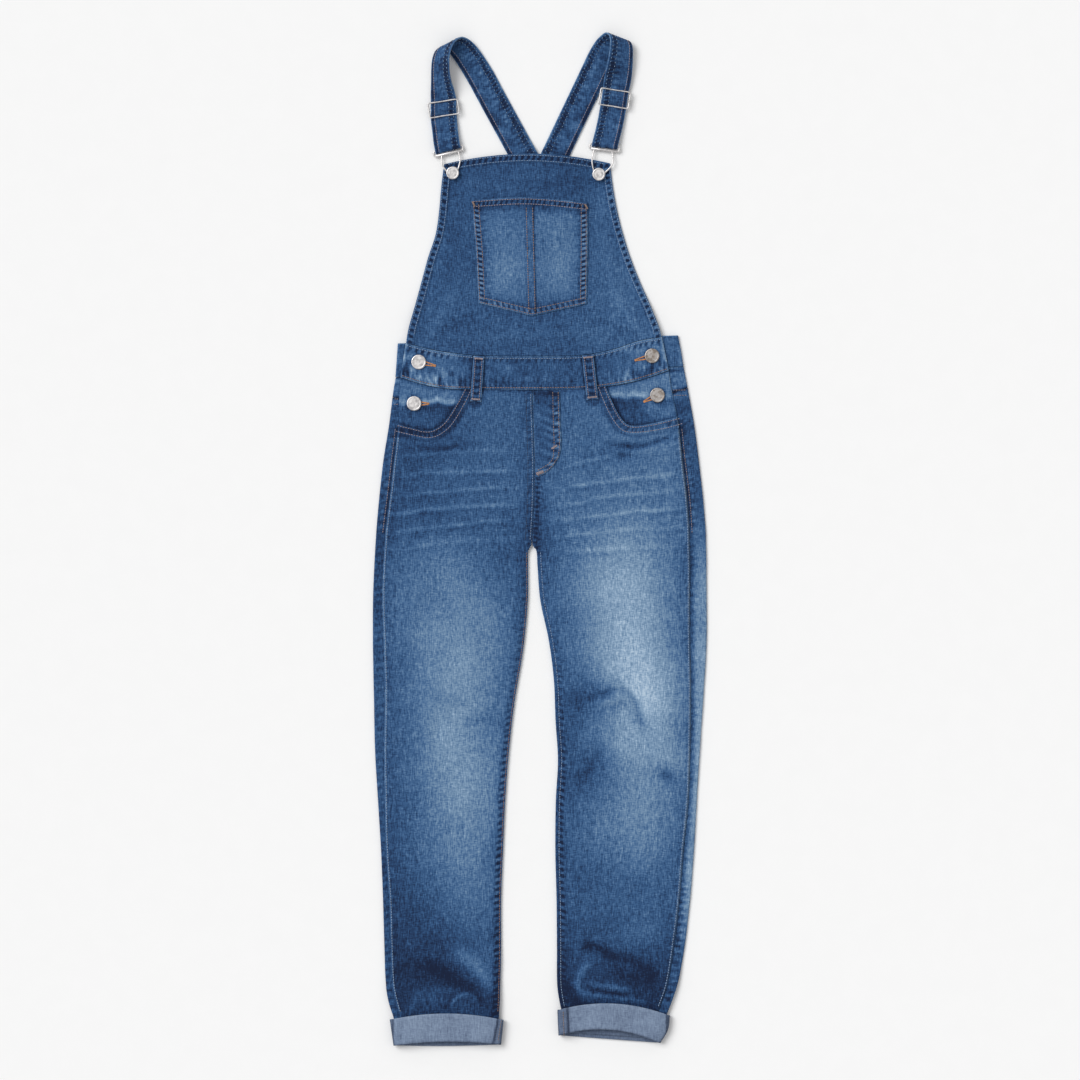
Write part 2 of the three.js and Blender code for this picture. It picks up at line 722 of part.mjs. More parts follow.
// A keyhole buttonhole as a cutting tool: an eye round the button's shank and a slit.
function buttonhole(at, end) {
  const angle = Math.atan2(end[1] - at[1], end[0] - at[0]);
  const bar = 3; // stitched end of the slit
  const reach = Math.hypot(end[0] - at[0], end[1] - at[1]) - bar;
  const eye = SHANK + 0.5; // radius round the shank
  const slit = 0.6; // half the slit
  const open = Math.asin(slit / eye);
  const round = steps(12, open, 2 * Math.PI - open).map((t) => [eye * Math.cos(t), eye * Math.sin(t)]);
  const outline = [...round, [reach, -slit], [reach, slit]];
  const turned = outline.map(([x, y]) => [
    at[0] + x * Math.cos(angle) - y * Math.sin(angle),
    at[1] + x * Math.sin(angle) + y * Math.cos(angle),
  ]);
  return prism(turned, CUT_LOW, CUT_HIGH);
}

function frontWaistband() {
  const low = (u) => [WAIST.at("xLow", u), WAIST.at("yLow", u)];
  const high = (u) => [WAIST.at("xHigh", u), WAIST.at("yHigh", u)];
  const end = (u) => (v) => [0, 1].map((k) => mix(low(u)[k], high(u)[k], v));
  const edges = { left: end(0), right: end(1), low, high };
  const band = panel(
    edges,
    steps(18),
    [0, 0.3, 0.7, 1],
    () => BAND_LOW,
    (x, y, u, v) => BAND_LOW + FRONT_BAND + WAIST_PUFF * Math.sin(Math.PI * v),
  );
  const { waist_left: left, waist_right: right } = SIDE_BUTTONS;
  return cut(band, buttonhole(left.at, left.hole), buttonhole(right.at, right.hole));
}

// The bib, which lies over the straps

function bibUnder(x, y, toEdge) {
  const far = Math.hypot((x - CROSSING.x) / CROSSING.halfX, (y - CROSSING.y) / CROSSING.halfY);
  const cross = 1 - smooth(CROSSING.full, CROSSING.none, far);
  const waist = smooth(BIB_WAIST.from, BIB_WAIST.to, y);
  const { depth, narrow, wide, low, high, none } = BIB_DROOP;
  const reach = mix(narrow, wide, smooth(low, high, y));
  const droop = depth * (1 - smooth(0, reach, toEdge)) * smooth(none, low, y);
  return BIB_REST + BIB_CROSS * cross + (BAND_LOW + BIB_WAIST.lift - BIB_REST) * waist - droop;
}

function bibSpan(y) {
  const rows = BIB.rows;
  const sides = [1, 3].map((column) => {
    const side = table(
      "y x",
      rows.map((row) => [row[column + 1], row[column]]),
    );
    return side.at("x", y);
  });
  return { left: sides[0], right: sides[1] };
}

function bibTop(x) {
  return BIB_ARCH.high - BIB_ARCH.drop * ((x - BIB_ARCH.middle) / BIB_ARCH.half) ** 2;
}

function bibHeight(x, y) {
  const { left, right } = bibSpan(y);
  return bibUnder(x, y, Math.max(0, Math.min(x - left, right - x)));
}

function bib() {
  const edges = {
    left: (v) => [BIB.at("xLeft", v), BIB.at("yLeft", v)],
    right: (v) => [BIB.at("xRight", v), BIB.at("yRight", v)],
    low: (u) => {
      const x = mix(BIB.at("xLeft", 0), BIB.at("xRight", 0), u);
      return [x, waistHigh.at("y", x) + GAP];
    },
    high: (u) => {
      const [from, to] = [BIB.at("xLeft", 1), BIB.at("xRight", 1)];
      const x = mix(from, to, u);
      const straight = mix(BIB.at("yLeft", 1), BIB.at("yRight", 1), u);
      return [x, straight + bibTop(x) - mix(bibTop(from), bibTop(to), u)];
    },
  };
  const hem = HEM_WIDTH / BIB_SIZE;
  const hemEnd = hem + HEM_STEP;
  const us = [0, hem, hemEnd, ...steps(9, 0.12, 0.88), 1 - hemEnd, 1 - hem, 1];
  const vs = [...steps(13, 0, 0.92), 1 - hemEnd, 1 - hem, 1];
  const hemmed = (u, v) => (u <= hem || u >= 1 - hem || v >= 1 - hem ? HEM_RISE : 0);
  return panel(
    edges,
    us,
    vs,
    bibHeight,
    (x, y, u, v) => bibHeight(x, y) + CLOTH + hemmed(u, v),
  );
}

function bibPocket() {
  const { left, right, high, low, height, ridge, ridgeRise } = POCKET_BIB;
  const top = curve([left[0], high, right[0]]);
  const bottom = (u) => {
    const half = u < 0.5;
    const from = half ? left[2] : low;
    const to = half ? low : right[2];
    const t = half ? u * 2 : u * 2 - 1;
    return [mix(from[0], to[0], t), mix(from[1], to[1], t)];
  };
  const edges = {
    left: (v) => curve(left)(1 - v),
    right: (v) => curve(right)(1 - v),
    low: bottom,
    high: top,
  };
  const us = [...steps(4, 0, 0.44), 0.5 - ridge, 0.5, 0.5 + ridge, ...steps(4, 0.56, 1)];
  const hem = 1 - HEM_WIDTH / height;
  const vs = [...steps(9, 0, 0.9), hem - 0.01, hem, 1];
  const onRidge = (u) => Math.abs(u - 0.5) <= ridge + 1e-6;
  const raised = (u, v) => Math.max(v >= hem ? HEM_RISE : 0, onRidge(u) ? ridgeRise : 0);
  return panel(
    edges,
    us,
    vs,
    (x, y) => bibHeight(x, y) + CLOTH + 1.5 * GAP,
    (x, y, u, v) => bibHeight(x, y) + 2 * CLOTH + 1.5 * GAP + raised(u, v),
  );
}

// Small sewn pieces on the trousers' front

function fly() {
  const along = (v) => mix(FLY_LOW, FLY_HIGH, v);
  const side = (name) => (v) => [FLY.at(name, along(v)), along(v)];
  const across = (y) => (u) => [mix(FLY.at("xLeft", y), FLY.at("xRight", y), u), y];
  const edges = { left: side("xLeft"), right: side("xRight"), low: across(FLY_LOW), high: across(FLY_HIGH) };
  const under = (x, y) => frontTop("right", x, y) + FLY_GAP;
  return panel(edges, steps(3), steps(10), under, (x, y) => under(x, y) + FACING);
}

function beltLoop(side) {
  const { high, low, half } = BELT_LOOPS[side];
  const turn = Math.atan2(high[0] - low[0], high[1] - low[1]);
  const across = [half * Math.cos(turn), -half * Math.sin(turn)];
  const edge = (sign) => (v) => [
    mix(low[0], high[0], v) + sign * across[0],
    mix(low[1], high[1], v) + sign * across[1],
  ];
  const edges = {
    left: edge(-1),
    right: edge(1),
    low: (u) => [0, 1].map((k) => mix(edge(-1)(0)[k], edge(1)(0)[k], u)),
    high: (u) => [0, 1].map((k) => mix(edge(-1)(1)[k], edge(1)(1)[k], u)),
  };
  const over = BAND_LOW + FRONT_BAND + WAIST_PUFF + GAP;
  const { rise, middle, half: archHalf } = LOOP_ARCH;
  const arched = (y) => rise * Math.exp(-(((y - middle) / archHalf) ** 2));
  const under = (x, y) => Math.max(over, frontTop(side, x, y) + GAP) + arched(y);
  return panel(edges, steps(1), steps(10), under, (x, y) => under(x, y) + LOOP_CLOTH);
}

// A cuff: a flattened ring round the leg's end. Its front edge arches, so that the mouth shows below it.
function cuff(side) {
  const { rings, frontHigh, backHigh, frontLow, backLow } = CUFF[side];
  const endHeight = 10.2;
  const middleHeight = 12.4;
  const across = steps(10);
  const loop = (v, offset) => {
    const left = [rings.at("xLeft", v), rings.at("yLeft", v)];
    const right = [rings.at("xRight", v), rings.at("yRight", v)];
    const radius = endHeight / 2;
    const inset = radius / (right[0] - left[0]);
    const place = (share, forward, z) => {
      const bulge = 4 * share * (1 - share);
      const front = mix(frontLow, frontHigh, 1 - v) * bulge;
      const back = mix(backLow, backHigh, 1 - v) * bulge;
      return [mix(left[0], right[0], share), mix(left[1], right[1], share) + mix(back, front, forward), z];
    };
    const along = across.map((t) => mix(inset, 1 - inset, t));
    const topAt = (share) => mix(endHeight, middleHeight, arch((share - inset) / (1 - 2 * inset)));
    const turn = (share, sign, angle) => {
      const reach = radius - offset;
      const x = (sign * reach * Math.sin(angle)) / (right[0] - left[0]);
      const z = radius - reach * Math.cos(angle);
      return place(share + x, angle / Math.PI, z);
    };
    const angles = [1, 2, 3].map((k) => (k * Math.PI) / 4);
    return [
      ...along.map((share) => place(share, 0, offset)),
      ...angles.map((angle) => turn(1 - inset, 1, angle)),
      ...[...along].reverse().map((share) => place(share, 1, topAt(share) - offset)),
      ...[...angles].reverse().map((angle) => turn(inset, -1, angle)),
    ];
  };
  const vs = steps(2);
  return wall(
    vs.map((v) => loop(v, 0)),
    vs.map((v) => loop(v, CUFF_WALL)),
    true,
  );
}

// Straps and their metal

// Both edges of a strap where it crosses a bar: the middle, the tilt in degrees and the height.
function acrossStrap(centre, tilt, z, out) {
  const turn = THREE.MathUtils.degToRad(tilt);
  const half = STRAP_HALF - 0.6;
  const reach = [half * Math.cos(turn), half * Math.sin(turn)];
  return {
    a: [centre[0] + out * reach[0], centre[1] + out * reach[1], z],
    b: [centre[0] - out * reach[0], centre[1] - out * reach[1], z],
  };
}

function strapStations(side) {
  const out = side === "left" ? -1 : 1;
  const line = STRAP_BACK[side];
  const metal = HARDWARE[side];
  const straight = STRAP_RISE[side].rows.map(([along, z]) => {
    const centre = [line.x + line.dx * along, line.y + line.dy * along];
    return {
      a: [centre[0] + out * line.dy * STRAP_HALF, centre[1] - out * line.dx * STRAP_HALF, z],
      b: [centre[0] - out * line.dy * STRAP_HALF, centre[1] + out * line.dx * STRAP_HALF, z],
    };
  });
  const turn = STRAP_TURN[side].rows.map((row) => ({ a: row.slice(1, 4), b: row.slice(4) }));
  const { sliderHigh, sliderLow, sliderTilt, buckle, buckleTilt } = metal;
  const weave = steps(4).map((t) =>
    acrossStrap(
      [mix(sliderHigh[0], sliderLow[0], t), mix(sliderHigh[1], sliderLow[1], t)],
      sliderTilt,
      STRAP_LOW + SLIDER_RISE * Math.sin(Math.PI * t) ** 2,
      out,
    ),
  );
  const below = metal.below.map(([x, y, z], i) =>
    acrossStrap([x, y], mix(sliderTilt, buckleTilt, (i + 1) / 3), z, out),
  );
  const tilt = THREE.MathUtils.degToRad(buckleTilt);
  const up = [-Math.sin(tilt), Math.cos(tilt)];
  const wrap = steps(6).map((t) => {
    const reach = BAR_STEP - WRAP * Math.sin(Math.PI * t);
    return acrossStrap(
      [buckle[0] + up[0] * reach, buckle[1] + up[1] * reach],
      buckleTilt,
      BAR_Z + WRAP * Math.cos(Math.PI * t),
      out,
    );
  });
  const [upper, lower] = metal.below;
  const tail = 0.4; // how far up the slider the strap's end lies below it
  const end = [0, 1].map((k) => mix(sliderLow[k], sliderHigh[k], tail));
  const back = [
    acrossStrap(lower, buckleTilt, RETURN_LOW, out),
    acrossStrap(upper, sliderTilt, RETURN_LOW, out),
    acrossStrap(end, sliderTilt, RETURN_LOW, out),
  ];
  return [...straight, ...turn, ...weave, ...below, ...wrap, ...back];
}

// A ribbon of even thickness through its stations, each with an edge a and an edge b.
function ribbon(stations, thick, perStation) {
  const path = (edge) =>
    new THREE.CatmullRomCurve3(
      stations.map((station) => new THREE.Vector3(...station[edge])),
      false,
      "centripetal",
    );
  const paths = { a: path("a"), b: path("b") };
  const count = (stations.length - 1) * perStation;
  const grid = (offset) =>
    steps(count).map((t) => {
      const a = paths.a.getPoint(t);
      const b = paths.b.getPoint(t);
      a.z = Math.max(a.z, thick / 2);
      b.z = Math.max(b.z, thick / 2);
      const step = 1e-3;
      const before = paths.a.getPoint(Math.max(0, t - step)).add(paths.b.getPoint(Math.max(0, t - step)));
      const after = paths.a.getPoint(Math.min(1, t + step)).add(paths.b.getPoint(Math.min(1, t + step)));
      const normal = after.sub(before).cross(b.clone().sub(a)).normalize().multiplyScalar(offset);
      return [a, b].map((point) => {
        const moved = point.clone().add(normal);
        return [moved.x, moved.y, Math.max(0, moved.z)];
      });
    });
  return wall(grid(thick / 2), grid(-thick / 2));
}

// A round wire, closed on itself or with two flat ends.
function wire(points, radius, closed, count) {
  const path = new THREE.CatmullRomCurve3(
    points.map((point) => new THREE.Vector3(...point)),
    closed,
    "centripetal",
  );
  if (closed) return new THREE.TubeGeometry(path, count, radius, 6, true);
  const section = new THREE.Shape().absarc(0, 0, radius, 0, Math.PI * 2);
  return new THREE.ExtrudeGeometry(section, { steps: count, extrudePath: path, curveSegments: 3 });
}

// A rectangle of wire with rounded corners in a plane at one height, its middle, half sizes and tilt given.
function wireFrame(centre, halfX, halfY, tilt, z, radius) {
  const corner = 1.6;
  const turn = THREE.MathUtils.degToRad(tilt);
  const outline = [
    [halfX, 0],
    [halfX, halfY - corner],
    [halfX - corner * 0.3, halfY - corner * 0.3],
    [halfX - corner, halfY],
    [0, halfY],
  ];
  const quarter = [
    ...outline,
    ...outline
      .slice(0, -1)
      .reverse()
      .map(([x, y]) => [-x, y]),
  ];
  const whole = [
    ...quarter,
    ...quarter
      .slice(1, -1)
      .reverse()
      .map(([x, y]) => [x, -y]),
  ];
  const points = whole.map(([x, y]) => [
    centre[0] + x * Math.cos(turn) - y * Math.sin(turn),
    centre[1] + x * Math.sin(turn) + y * Math.cos(turn),
    z,
  ]);
  return wire(points, radius, true, 32);
}

function slider(side) {
  const { sliderHigh, sliderLow, sliderTilt } = HARDWARE[side];
  const centre = [mix(sliderHigh[0], sliderLow[0], 0.5), mix(sliderHigh[1], sliderLow[1], 0.5)];
  const half = Math.hypot(sliderHigh[0] - sliderLow[0], sliderHigh[1] - sliderLow[1]) / 2;
  const z = STRAP_LOW + STRAP / 2 + GAP + WIRE;
  const turn = THREE.MathUtils.degToRad(sliderTilt);
  const ends = [-1, 1].map((sign) => [
    centre[0] + sign * SLIDER_HALF * Math.cos(turn),
    centre[1] + sign * SLIDER_HALF * Math.sin(turn),
    z,
  ]);
  return join(wireFrame(centre, SLIDER_HALF, half, sliderTilt, z, WIRE), wire(ends, WIRE * 0.9, false, 2));
}

function buckle(side) {
  const metal = HARDWARE[side];
  const tilt = THREE.MathUtils.degToRad(metal.buckleTilt);
  const up = [-Math.sin(tilt), Math.cos(tilt)];
  const centre = [metal.buckle[0] + (up[0] * BAR_STEP) / 2, metal.buckle[1] + (up[1] * BAR_STEP) / 2];
  const frame = wireFrame(centre, BUCKLE_HALF, BAR_STEP / 2, metal.buckleTilt, BAR_Z, 1.0);
  const bar = new THREE.BoxGeometry(2 * BUCKLE_HALF - 2, 3.0, 1.7)
    .rotateZ(tilt)
    .translate(metal.buckle[0], metal.buckle[1], BAR_Z);
  const [bx, by] = metal.button;
  const grip = SHANK + 0.5 + WIRE;
  const round = steps(6, Math.PI * 1.06, Math.PI * 1.94).map((angle) => [
    bx + grip * Math.cos(angle),
    by + grip * Math.sin(angle),
    LOOP_Z,
  ]);
  const onBar = (along) => [
    metal.buckle[0] + along * Math.cos(tilt),
    metal.buckle[1] + along * Math.sin(tilt),
    BAR_Z,
  ];
  const points = [
    onBar(metal.loopFrom),
    [...metal.loopOut, LOOP_Z],
    ...round,
    [...metal.loopBack, LOOP_Z],
    onBar(metal.loopTo),
  ];
  return join(frame, bar, wire(points, WIRE, false, 20));
}

// A tack button: a domed head with a rim, on a shank that stands on the cloth below.
function button(radius, at, rest, under) {
  const top = under + HEAD_THICK;
  const profile = [
    [0, rest],
    [SHANK, rest],
    [SHANK, under],
    [radius - 0.8, under],
    [radius, under + 0.7],
    [radius - 0.5, top - 0.35],
    [radius - 1.5, top - 0.1],
    [radius - 2.2, top - 0.4],
    [0, top - 0.1],
  ];
  return new THREE.LatheGeometry(
    profile.map(([r, z]) => new THREE.Vector2(r, z)),
    18,
  )
    .rotateX(Math.PI / 2)
    .translate(at[0], at[1], 0);
}

const dungarees = new THREE.Group();

function add(name, geometry, finish) {
  const mesh = new THREE.Mesh(geometry, new THREE.MeshStandardMaterial(finish));
  mesh.name = name;
  dungarees.add(mesh);
}

for (const side of ["left", "right"]) {
  add("back_leg_" + side, backLeg(side), DENIM_DARK);
  add("back_yoke_" + side, backYoke(side), DENIM_DARK);
  add("front_leg_" + side, frontLeg(side), DENIM);
  add("pocket_facing_" + side, pocketFacing(side), DENIM_DARK);
  add("belt_loop_" + side, beltLoop(side), DENIM_DARK);
  add("cuff_" + side, cuff(side), DENIM_REVERSE);
  add("strap_" + side, ribbon(strapStations(side), STRAP, 3), DENIM_DARK);
  add("slider_" + side, slider(side), NICKEL);
  add("buckle_" + side, buckle(side), NICKEL);
  const [x, y] = HARDWARE[side].button;
  const cloth = bibHeight(x, y) + CLOTH + HEM_RISE;
  add("button_bib_" + side, button(BIB_BUTTON, [x, y], cloth + 2 * GAP, LOOP_Z + WIRE + GAP), NICKEL);
}
add("back_waistband", backWaistband(), DENIM_DARK);
add("front_waistband", frontWaistband(), DENIM);
add("bib", bib(), DENIM);
add("bib_pocket", bibPocket(), DENIM);
add("fly", fly(), DENIM);
for (const [place, { at, rest, cloth }] of Object.entries(SIDE_BUTTONS))
  add("button_" + place, button(WAIST_BUTTON, at, rest + GAP, cloth + BUTTON_LIFT), NICKEL);

// The origin goes under the middle of the garment.
const box = new THREE.Box3().setFromObject(dungarees);
dungarees.position.set(-(box.min.x + box.max.x) / 2, -(box.min.y + box.max.y) / 2, -box.min.z);

export default dungarees;
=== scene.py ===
# Denim dungarees laid flat with the front up.
# Sizes and heights here are in millimetres and turn into metres where a mesh is made.
import math

import bpy
import numpy as np
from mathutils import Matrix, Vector


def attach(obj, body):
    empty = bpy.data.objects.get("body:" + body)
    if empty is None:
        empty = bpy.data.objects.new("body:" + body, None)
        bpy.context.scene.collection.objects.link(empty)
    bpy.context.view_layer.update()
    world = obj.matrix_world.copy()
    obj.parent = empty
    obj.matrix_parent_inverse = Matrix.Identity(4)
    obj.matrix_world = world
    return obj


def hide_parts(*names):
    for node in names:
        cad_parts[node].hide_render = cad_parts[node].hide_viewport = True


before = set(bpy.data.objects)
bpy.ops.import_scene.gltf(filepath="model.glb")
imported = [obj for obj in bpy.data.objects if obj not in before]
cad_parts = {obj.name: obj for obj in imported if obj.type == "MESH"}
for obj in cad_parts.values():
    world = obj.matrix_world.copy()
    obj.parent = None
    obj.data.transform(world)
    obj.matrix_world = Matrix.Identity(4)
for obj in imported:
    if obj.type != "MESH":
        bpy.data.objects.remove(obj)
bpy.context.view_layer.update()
SHIFT = np.array([0.249, -0.795, 0.0])  # from the tables' origin to the frame's

# Cloth and clearances, as in the solids
CLOTH = 1.2
GAP = 0.3
BACK_BAND = 1.6
FRONT_BAND = 2.0
FACING = 1.0
STRAP = 2.0
STRAP_HALF = 15.5
CUFF_WALL = 2.4
HEM_RISE = 0.8
LEG_FOLD = 3.0
BAND_FOLD = 3.8
FRONT_LOW = LEG_FOLD + GAP
CROWN = 1.4
BAND_LOW = BAND_FOLD + 0.4
FACING_LIFT = FACING + GAP
CUFF_LIFT = CUFF_WALL + GAP
BIB_REST = 2.4
BIB_CROSS = 2.5
SHANK = 3.0
HEAD_THICK = 2.0
WAIST_BUTTON = 8.5
BIB_BUTTON = 7.4
WIRE = 0.9
SLIDER_HALF = 17
BUCKLE_HALF = 17
BAR_Z = 3.6
BAR_STEP = 5.5
LOOP_Z = 4.7
WRAP = 2.3
SLIDER_RISE = 4.4
STRAP_LOW = 3.6
RETURN_LOW = 1.3

# Widths that the fading and the painted shade and light are measured from
BAND_WIDTH = 38
LOOP_LENGTH = 52
CUFF_DEPTH = 34


def mix(a, b, t):
    return a + (b - a) * t


def smooth(low, high, x):
    t = np.clip((np.asarray(x, float) - low) / (high - low), 0, 1)
    return t * t * (3 - 2 * t)


def arch(t):
    return np.sqrt(np.maximum(0, 4 * t * (1 - t)))


def bell(value, width, centre=0, power=2):
    """1 where the value is at the centre, falling off smoothly on both sides."""
    return np.exp(-(((value - centre) / width) ** power))


class Table:
    """Rows with named columns, read between the rows with a smooth curve."""

    def __init__(self, columns, rows):
        self.names = columns.split()
        self.rows = np.array(rows, float)

    def at(self, name, key):
        keys, values = self.rows[:, 0], self.rows[:, self.names.index(name)]
        rising = 1 if keys[-1] > keys[0] else -1
        key = np.asarray(key, float)
        last = len(keys) - 1
        i = np.clip(np.searchsorted(rising * keys, rising * key, side="left") - 1, 0, last - 1)
        before, after = np.maximum(i - 1, 0), np.minimum(i + 2, last)
        slope_a = (values[i + 1] - values[before]) / (keys[i + 1] - keys[before])
        slope_b = (values[after] - values[i]) / (keys[after] - keys[i])
        span = keys[i + 1] - keys[i]
        t = np.clip((key - keys[i]) / span, 0, 1)
        ease = t * t * (3 - 2 * t)
        bend = span * t * (1 - t)
        return values[i] * (1 - ease) + values[i + 1] * ease + bend * ((1 - t) * slope_a - t * slope_b)


LEG = {
    "left": Table("y outer seam inner", [
        [187, -165.8, -160.2, -9.0],
        [172.5, -168.4, -161.5, -8.9],
        [132, -173.6, -162.8, -7.7],
        [92, -180.0, -167.4, -6.6],
        [46, -185.1, -172.8, -6.9],
        [11.5, -188.1, -177.2, -8.5],
        [-1, -188.9, -178.1, -9.6],
        [-7, -189.3, -178.5, -10.6],
        [-12, -189.6, -178.9, -13.4],
        [-28.7, -190.5, -180.0, -13.8],
        [-69, -192.0, -181.1, -14.0],
        [-126.5, -192.0, -179.2, -19.5],
        [-184, -190.9, -178.2, -29.0],
        [-241.5, -189.7, -179.0, -35.6],
        [-299, -186.3, -178.2, -40.0],
        [-356.5, -182.8, -177.0, -42.6],
        [-414, -180.5, -173.1, -44.8],
        [-471.5, -178.8, -171.5, -44.8],
        [-511.7, -177.2, -169.5, -45.7],
        [-532.4, -173.4, -165.0, -46.3],
        [-552, -167.6, -159.4, -47.4],
        [-578, -164.4, -156.5, -49.2],
    ]),
    "right": Table("y outer seam inner", [
        [199, 165.0, 147.3, -8.6],
        [172.5, 170.1, 151.4, -8.5],
        [132, 177.3, 159.2, -7.3],
        [92, 182.5, 163.6, -6.2],
        [46, 187.6, 169.1, -6.5],
        [11.5, 190.5, 171.5, -8.1],
        [-1, 190.8, 171.7, -8.9],
        [-7, 190.9, 171.8, -7.8],
        [-12, 191.0, 171.9, -4.2],
        [-28.7, 191.3, 172.2, -3.0],
        [-69, 191.6, 172.1, 0.3],
        [-115, 191.6, 172.3, 10.0],
        [-161, 189.2, 173.1, 15.9],
        [-207, 186.1, 173.1, 17.8],
        [-253, 183.1, 172.1, 20.6],
        [-299, 180.4, 170.4, 18.2],
        [-356.5, 177.1, 164.7, 17.6],
        [-414, 172.5, 160.0, 19.0],
        [-471.5, 165.7, 153.0, 19.5],
        [-511.7, 157.8, 146.1, 19.8],
        [-532.4, 151.0, 139.0, 23.0],
        [-548, 144.6, 133.6, 26.0],
        [-571.5, 136.4, 127.6, 27.2],
    ]),
}
WAIST = Table("share xHigh yHigh xLow yLow", [
    [0, -154.3, 226.0, -160.2, 187.0],
    [0.09, -131.0, 220.0, -134.5, 179.0],
    [0.18, -106.0, 215.4, -108.0, 174.2],
    [0.3, -72.0, 211.8, -74.0, 173.0],
    [0.5, -8.0, 211.0, -8.0, 172.7],
    [0.69, 49.0, 212.1, 50.0, 173.8],
    [0.82, 86.0, 219.3, 91.0, 178.8],
    [0.91, 112.0, 228.2, 118.0, 184.8],
    [1, 140.0, 233.2, 147.9, 194.9],
])
waist_high = Table("x y", WAIST.rows[:, 1:3])
waist_low = Table("x y", WAIST.rows[:, 3:5])
BIB = Table("share xLeft yLeft xRight yRight", [
    [0, -154.0, 226.4, 139.6, 233.6],
    [0.1, -151.0, 243.5, 137.2, 243.5],
    [0.24, -143.8, 269.1, 127.1, 269.1],
    [0.38, -136.3, 296.7, 115.0, 296.7],
    [0.52, -128.8, 324.3, 104.1, 324.3],
    [0.66, -119.9, 351.9, 95.4, 351.9],
    [0.78, -116.0, 378.3, 88.7, 378.3],
    [0.9, -113.4, 407.1, 83.6, 407.1],
    [1, -110.3, 432.0, 80.6, 433.0],
])
bib_left = Table("y x", BIB.rows[:, [2, 1]])
bib_right = Table("y x", BIB.rows[:, [4, 3]])
SCOOP = {
    "left": {
        "corner": (-150, 172),
        "edge": [(-86.9, 173.5), (-92.9, 161.9), (-104.8, 142.1), (-112.7, 132.8), (-123.3, 126.3),
                 (-133.9, 125.6), (-144.4, 128.2), (-163.5, 133.0)],
    },
    "right": {
        "corner": (140, 180),
        "edge": [(75.2, 176.5), (81.9, 160.5), (89.7, 144.9), (97.7, 134.2), (105.6, 130.9),
                 (118.8, 131.6), (138.6, 135.5), (160.0, 141.2)],
    },
}
UNDERLAP = {"left": -122, "right": 121}
YOKE_LOW = {"left": 164.4, "right": 174.8, "middle": 122}
SEAM_TOP = {"left": 186.5, "right": 194.5}
# Main folds of the front panels, as in the solids
FOLDS = Table("number x y angle length width height", [
    [0, -78, -508, -36, 90, 16, -1.7],
    [1, -58, -478, -38, 70, 14, 1.2],
    [2, -96, -531, 12, 46, 9, 0.9],
    [3, -69, -209, -15, 56, 14, -1.1],
    [4, -122, -192, 78, 76, 20, 0.8],
    [5, -126, 113, 8, 74, 8, -0.9],
    [6, 98, -484, -24, 92, 14, -1.8],
    [7, 84, -513, -12, 80, 10, 1.3],
    [8, 96, -527, -13, 70, 8, -0.9],
    [9, 106, -201, -42, 66, 14, -1.4],
    [10, 134, -204, -72, 96, 20, 0.9],
    [11, 144, -270, -28, 46, 12, -1.0],
    [12, 56, -266, 58, 66, 14, -0.8],
    [13, 114, 110, 12, 84, 8, -1.1],
])
# Finer creases that only show close up
CREASES = Table("number x y angle length width height", [
    [10, -118, -222, 84, 60, 6, -0.5],
    [11, -88, -238, -30, 50, 6, 0.5],
    [12, -130, -300, 80, 90, 8, 0.4],
    [13, -70, -330, -60, 80, 7, -0.4],
    [14, -120, -420, 70, 100, 8, -0.5],
    [15, -140, -468, 40, 60, 6, 0.5],
    [16, -118, -500, -30, 70, 6, 0.6],
    [17, -70, -538, 18, 60, 5, 0.5],
    [18, 70, -330, 66, 90, 8, -0.5],
    [19, 118, -360, -74, 110, 8, 0.45],
    [20, 60, -440, 50, 60, 6, 0.5],
    [21, 128, -470, -30, 50, 6, -0.5],
    [22, 120, -448, -40, 60, 6, 0.6],
    [23, 70, -215, 20, 40, 6, -0.5],
    [24, 128, -232, -50, 60, 6, 0.55],
    [25, 40, -150, 70, 90, 8, 0.4],
    [26, 60, 120, 10, 60, 5, -0.5],
    [27, 96, 96, 5, 36, 6, -0.6],
    [28, -40, -60, 75, 110, 9, -0.4],
    [29, -150, -90, 82, 140, 9, 0.4],
    [30, 150, -60, -84, 130, 9, 0.4],
    [31, 22, -40, 60, 70, 6, -0.4],
])
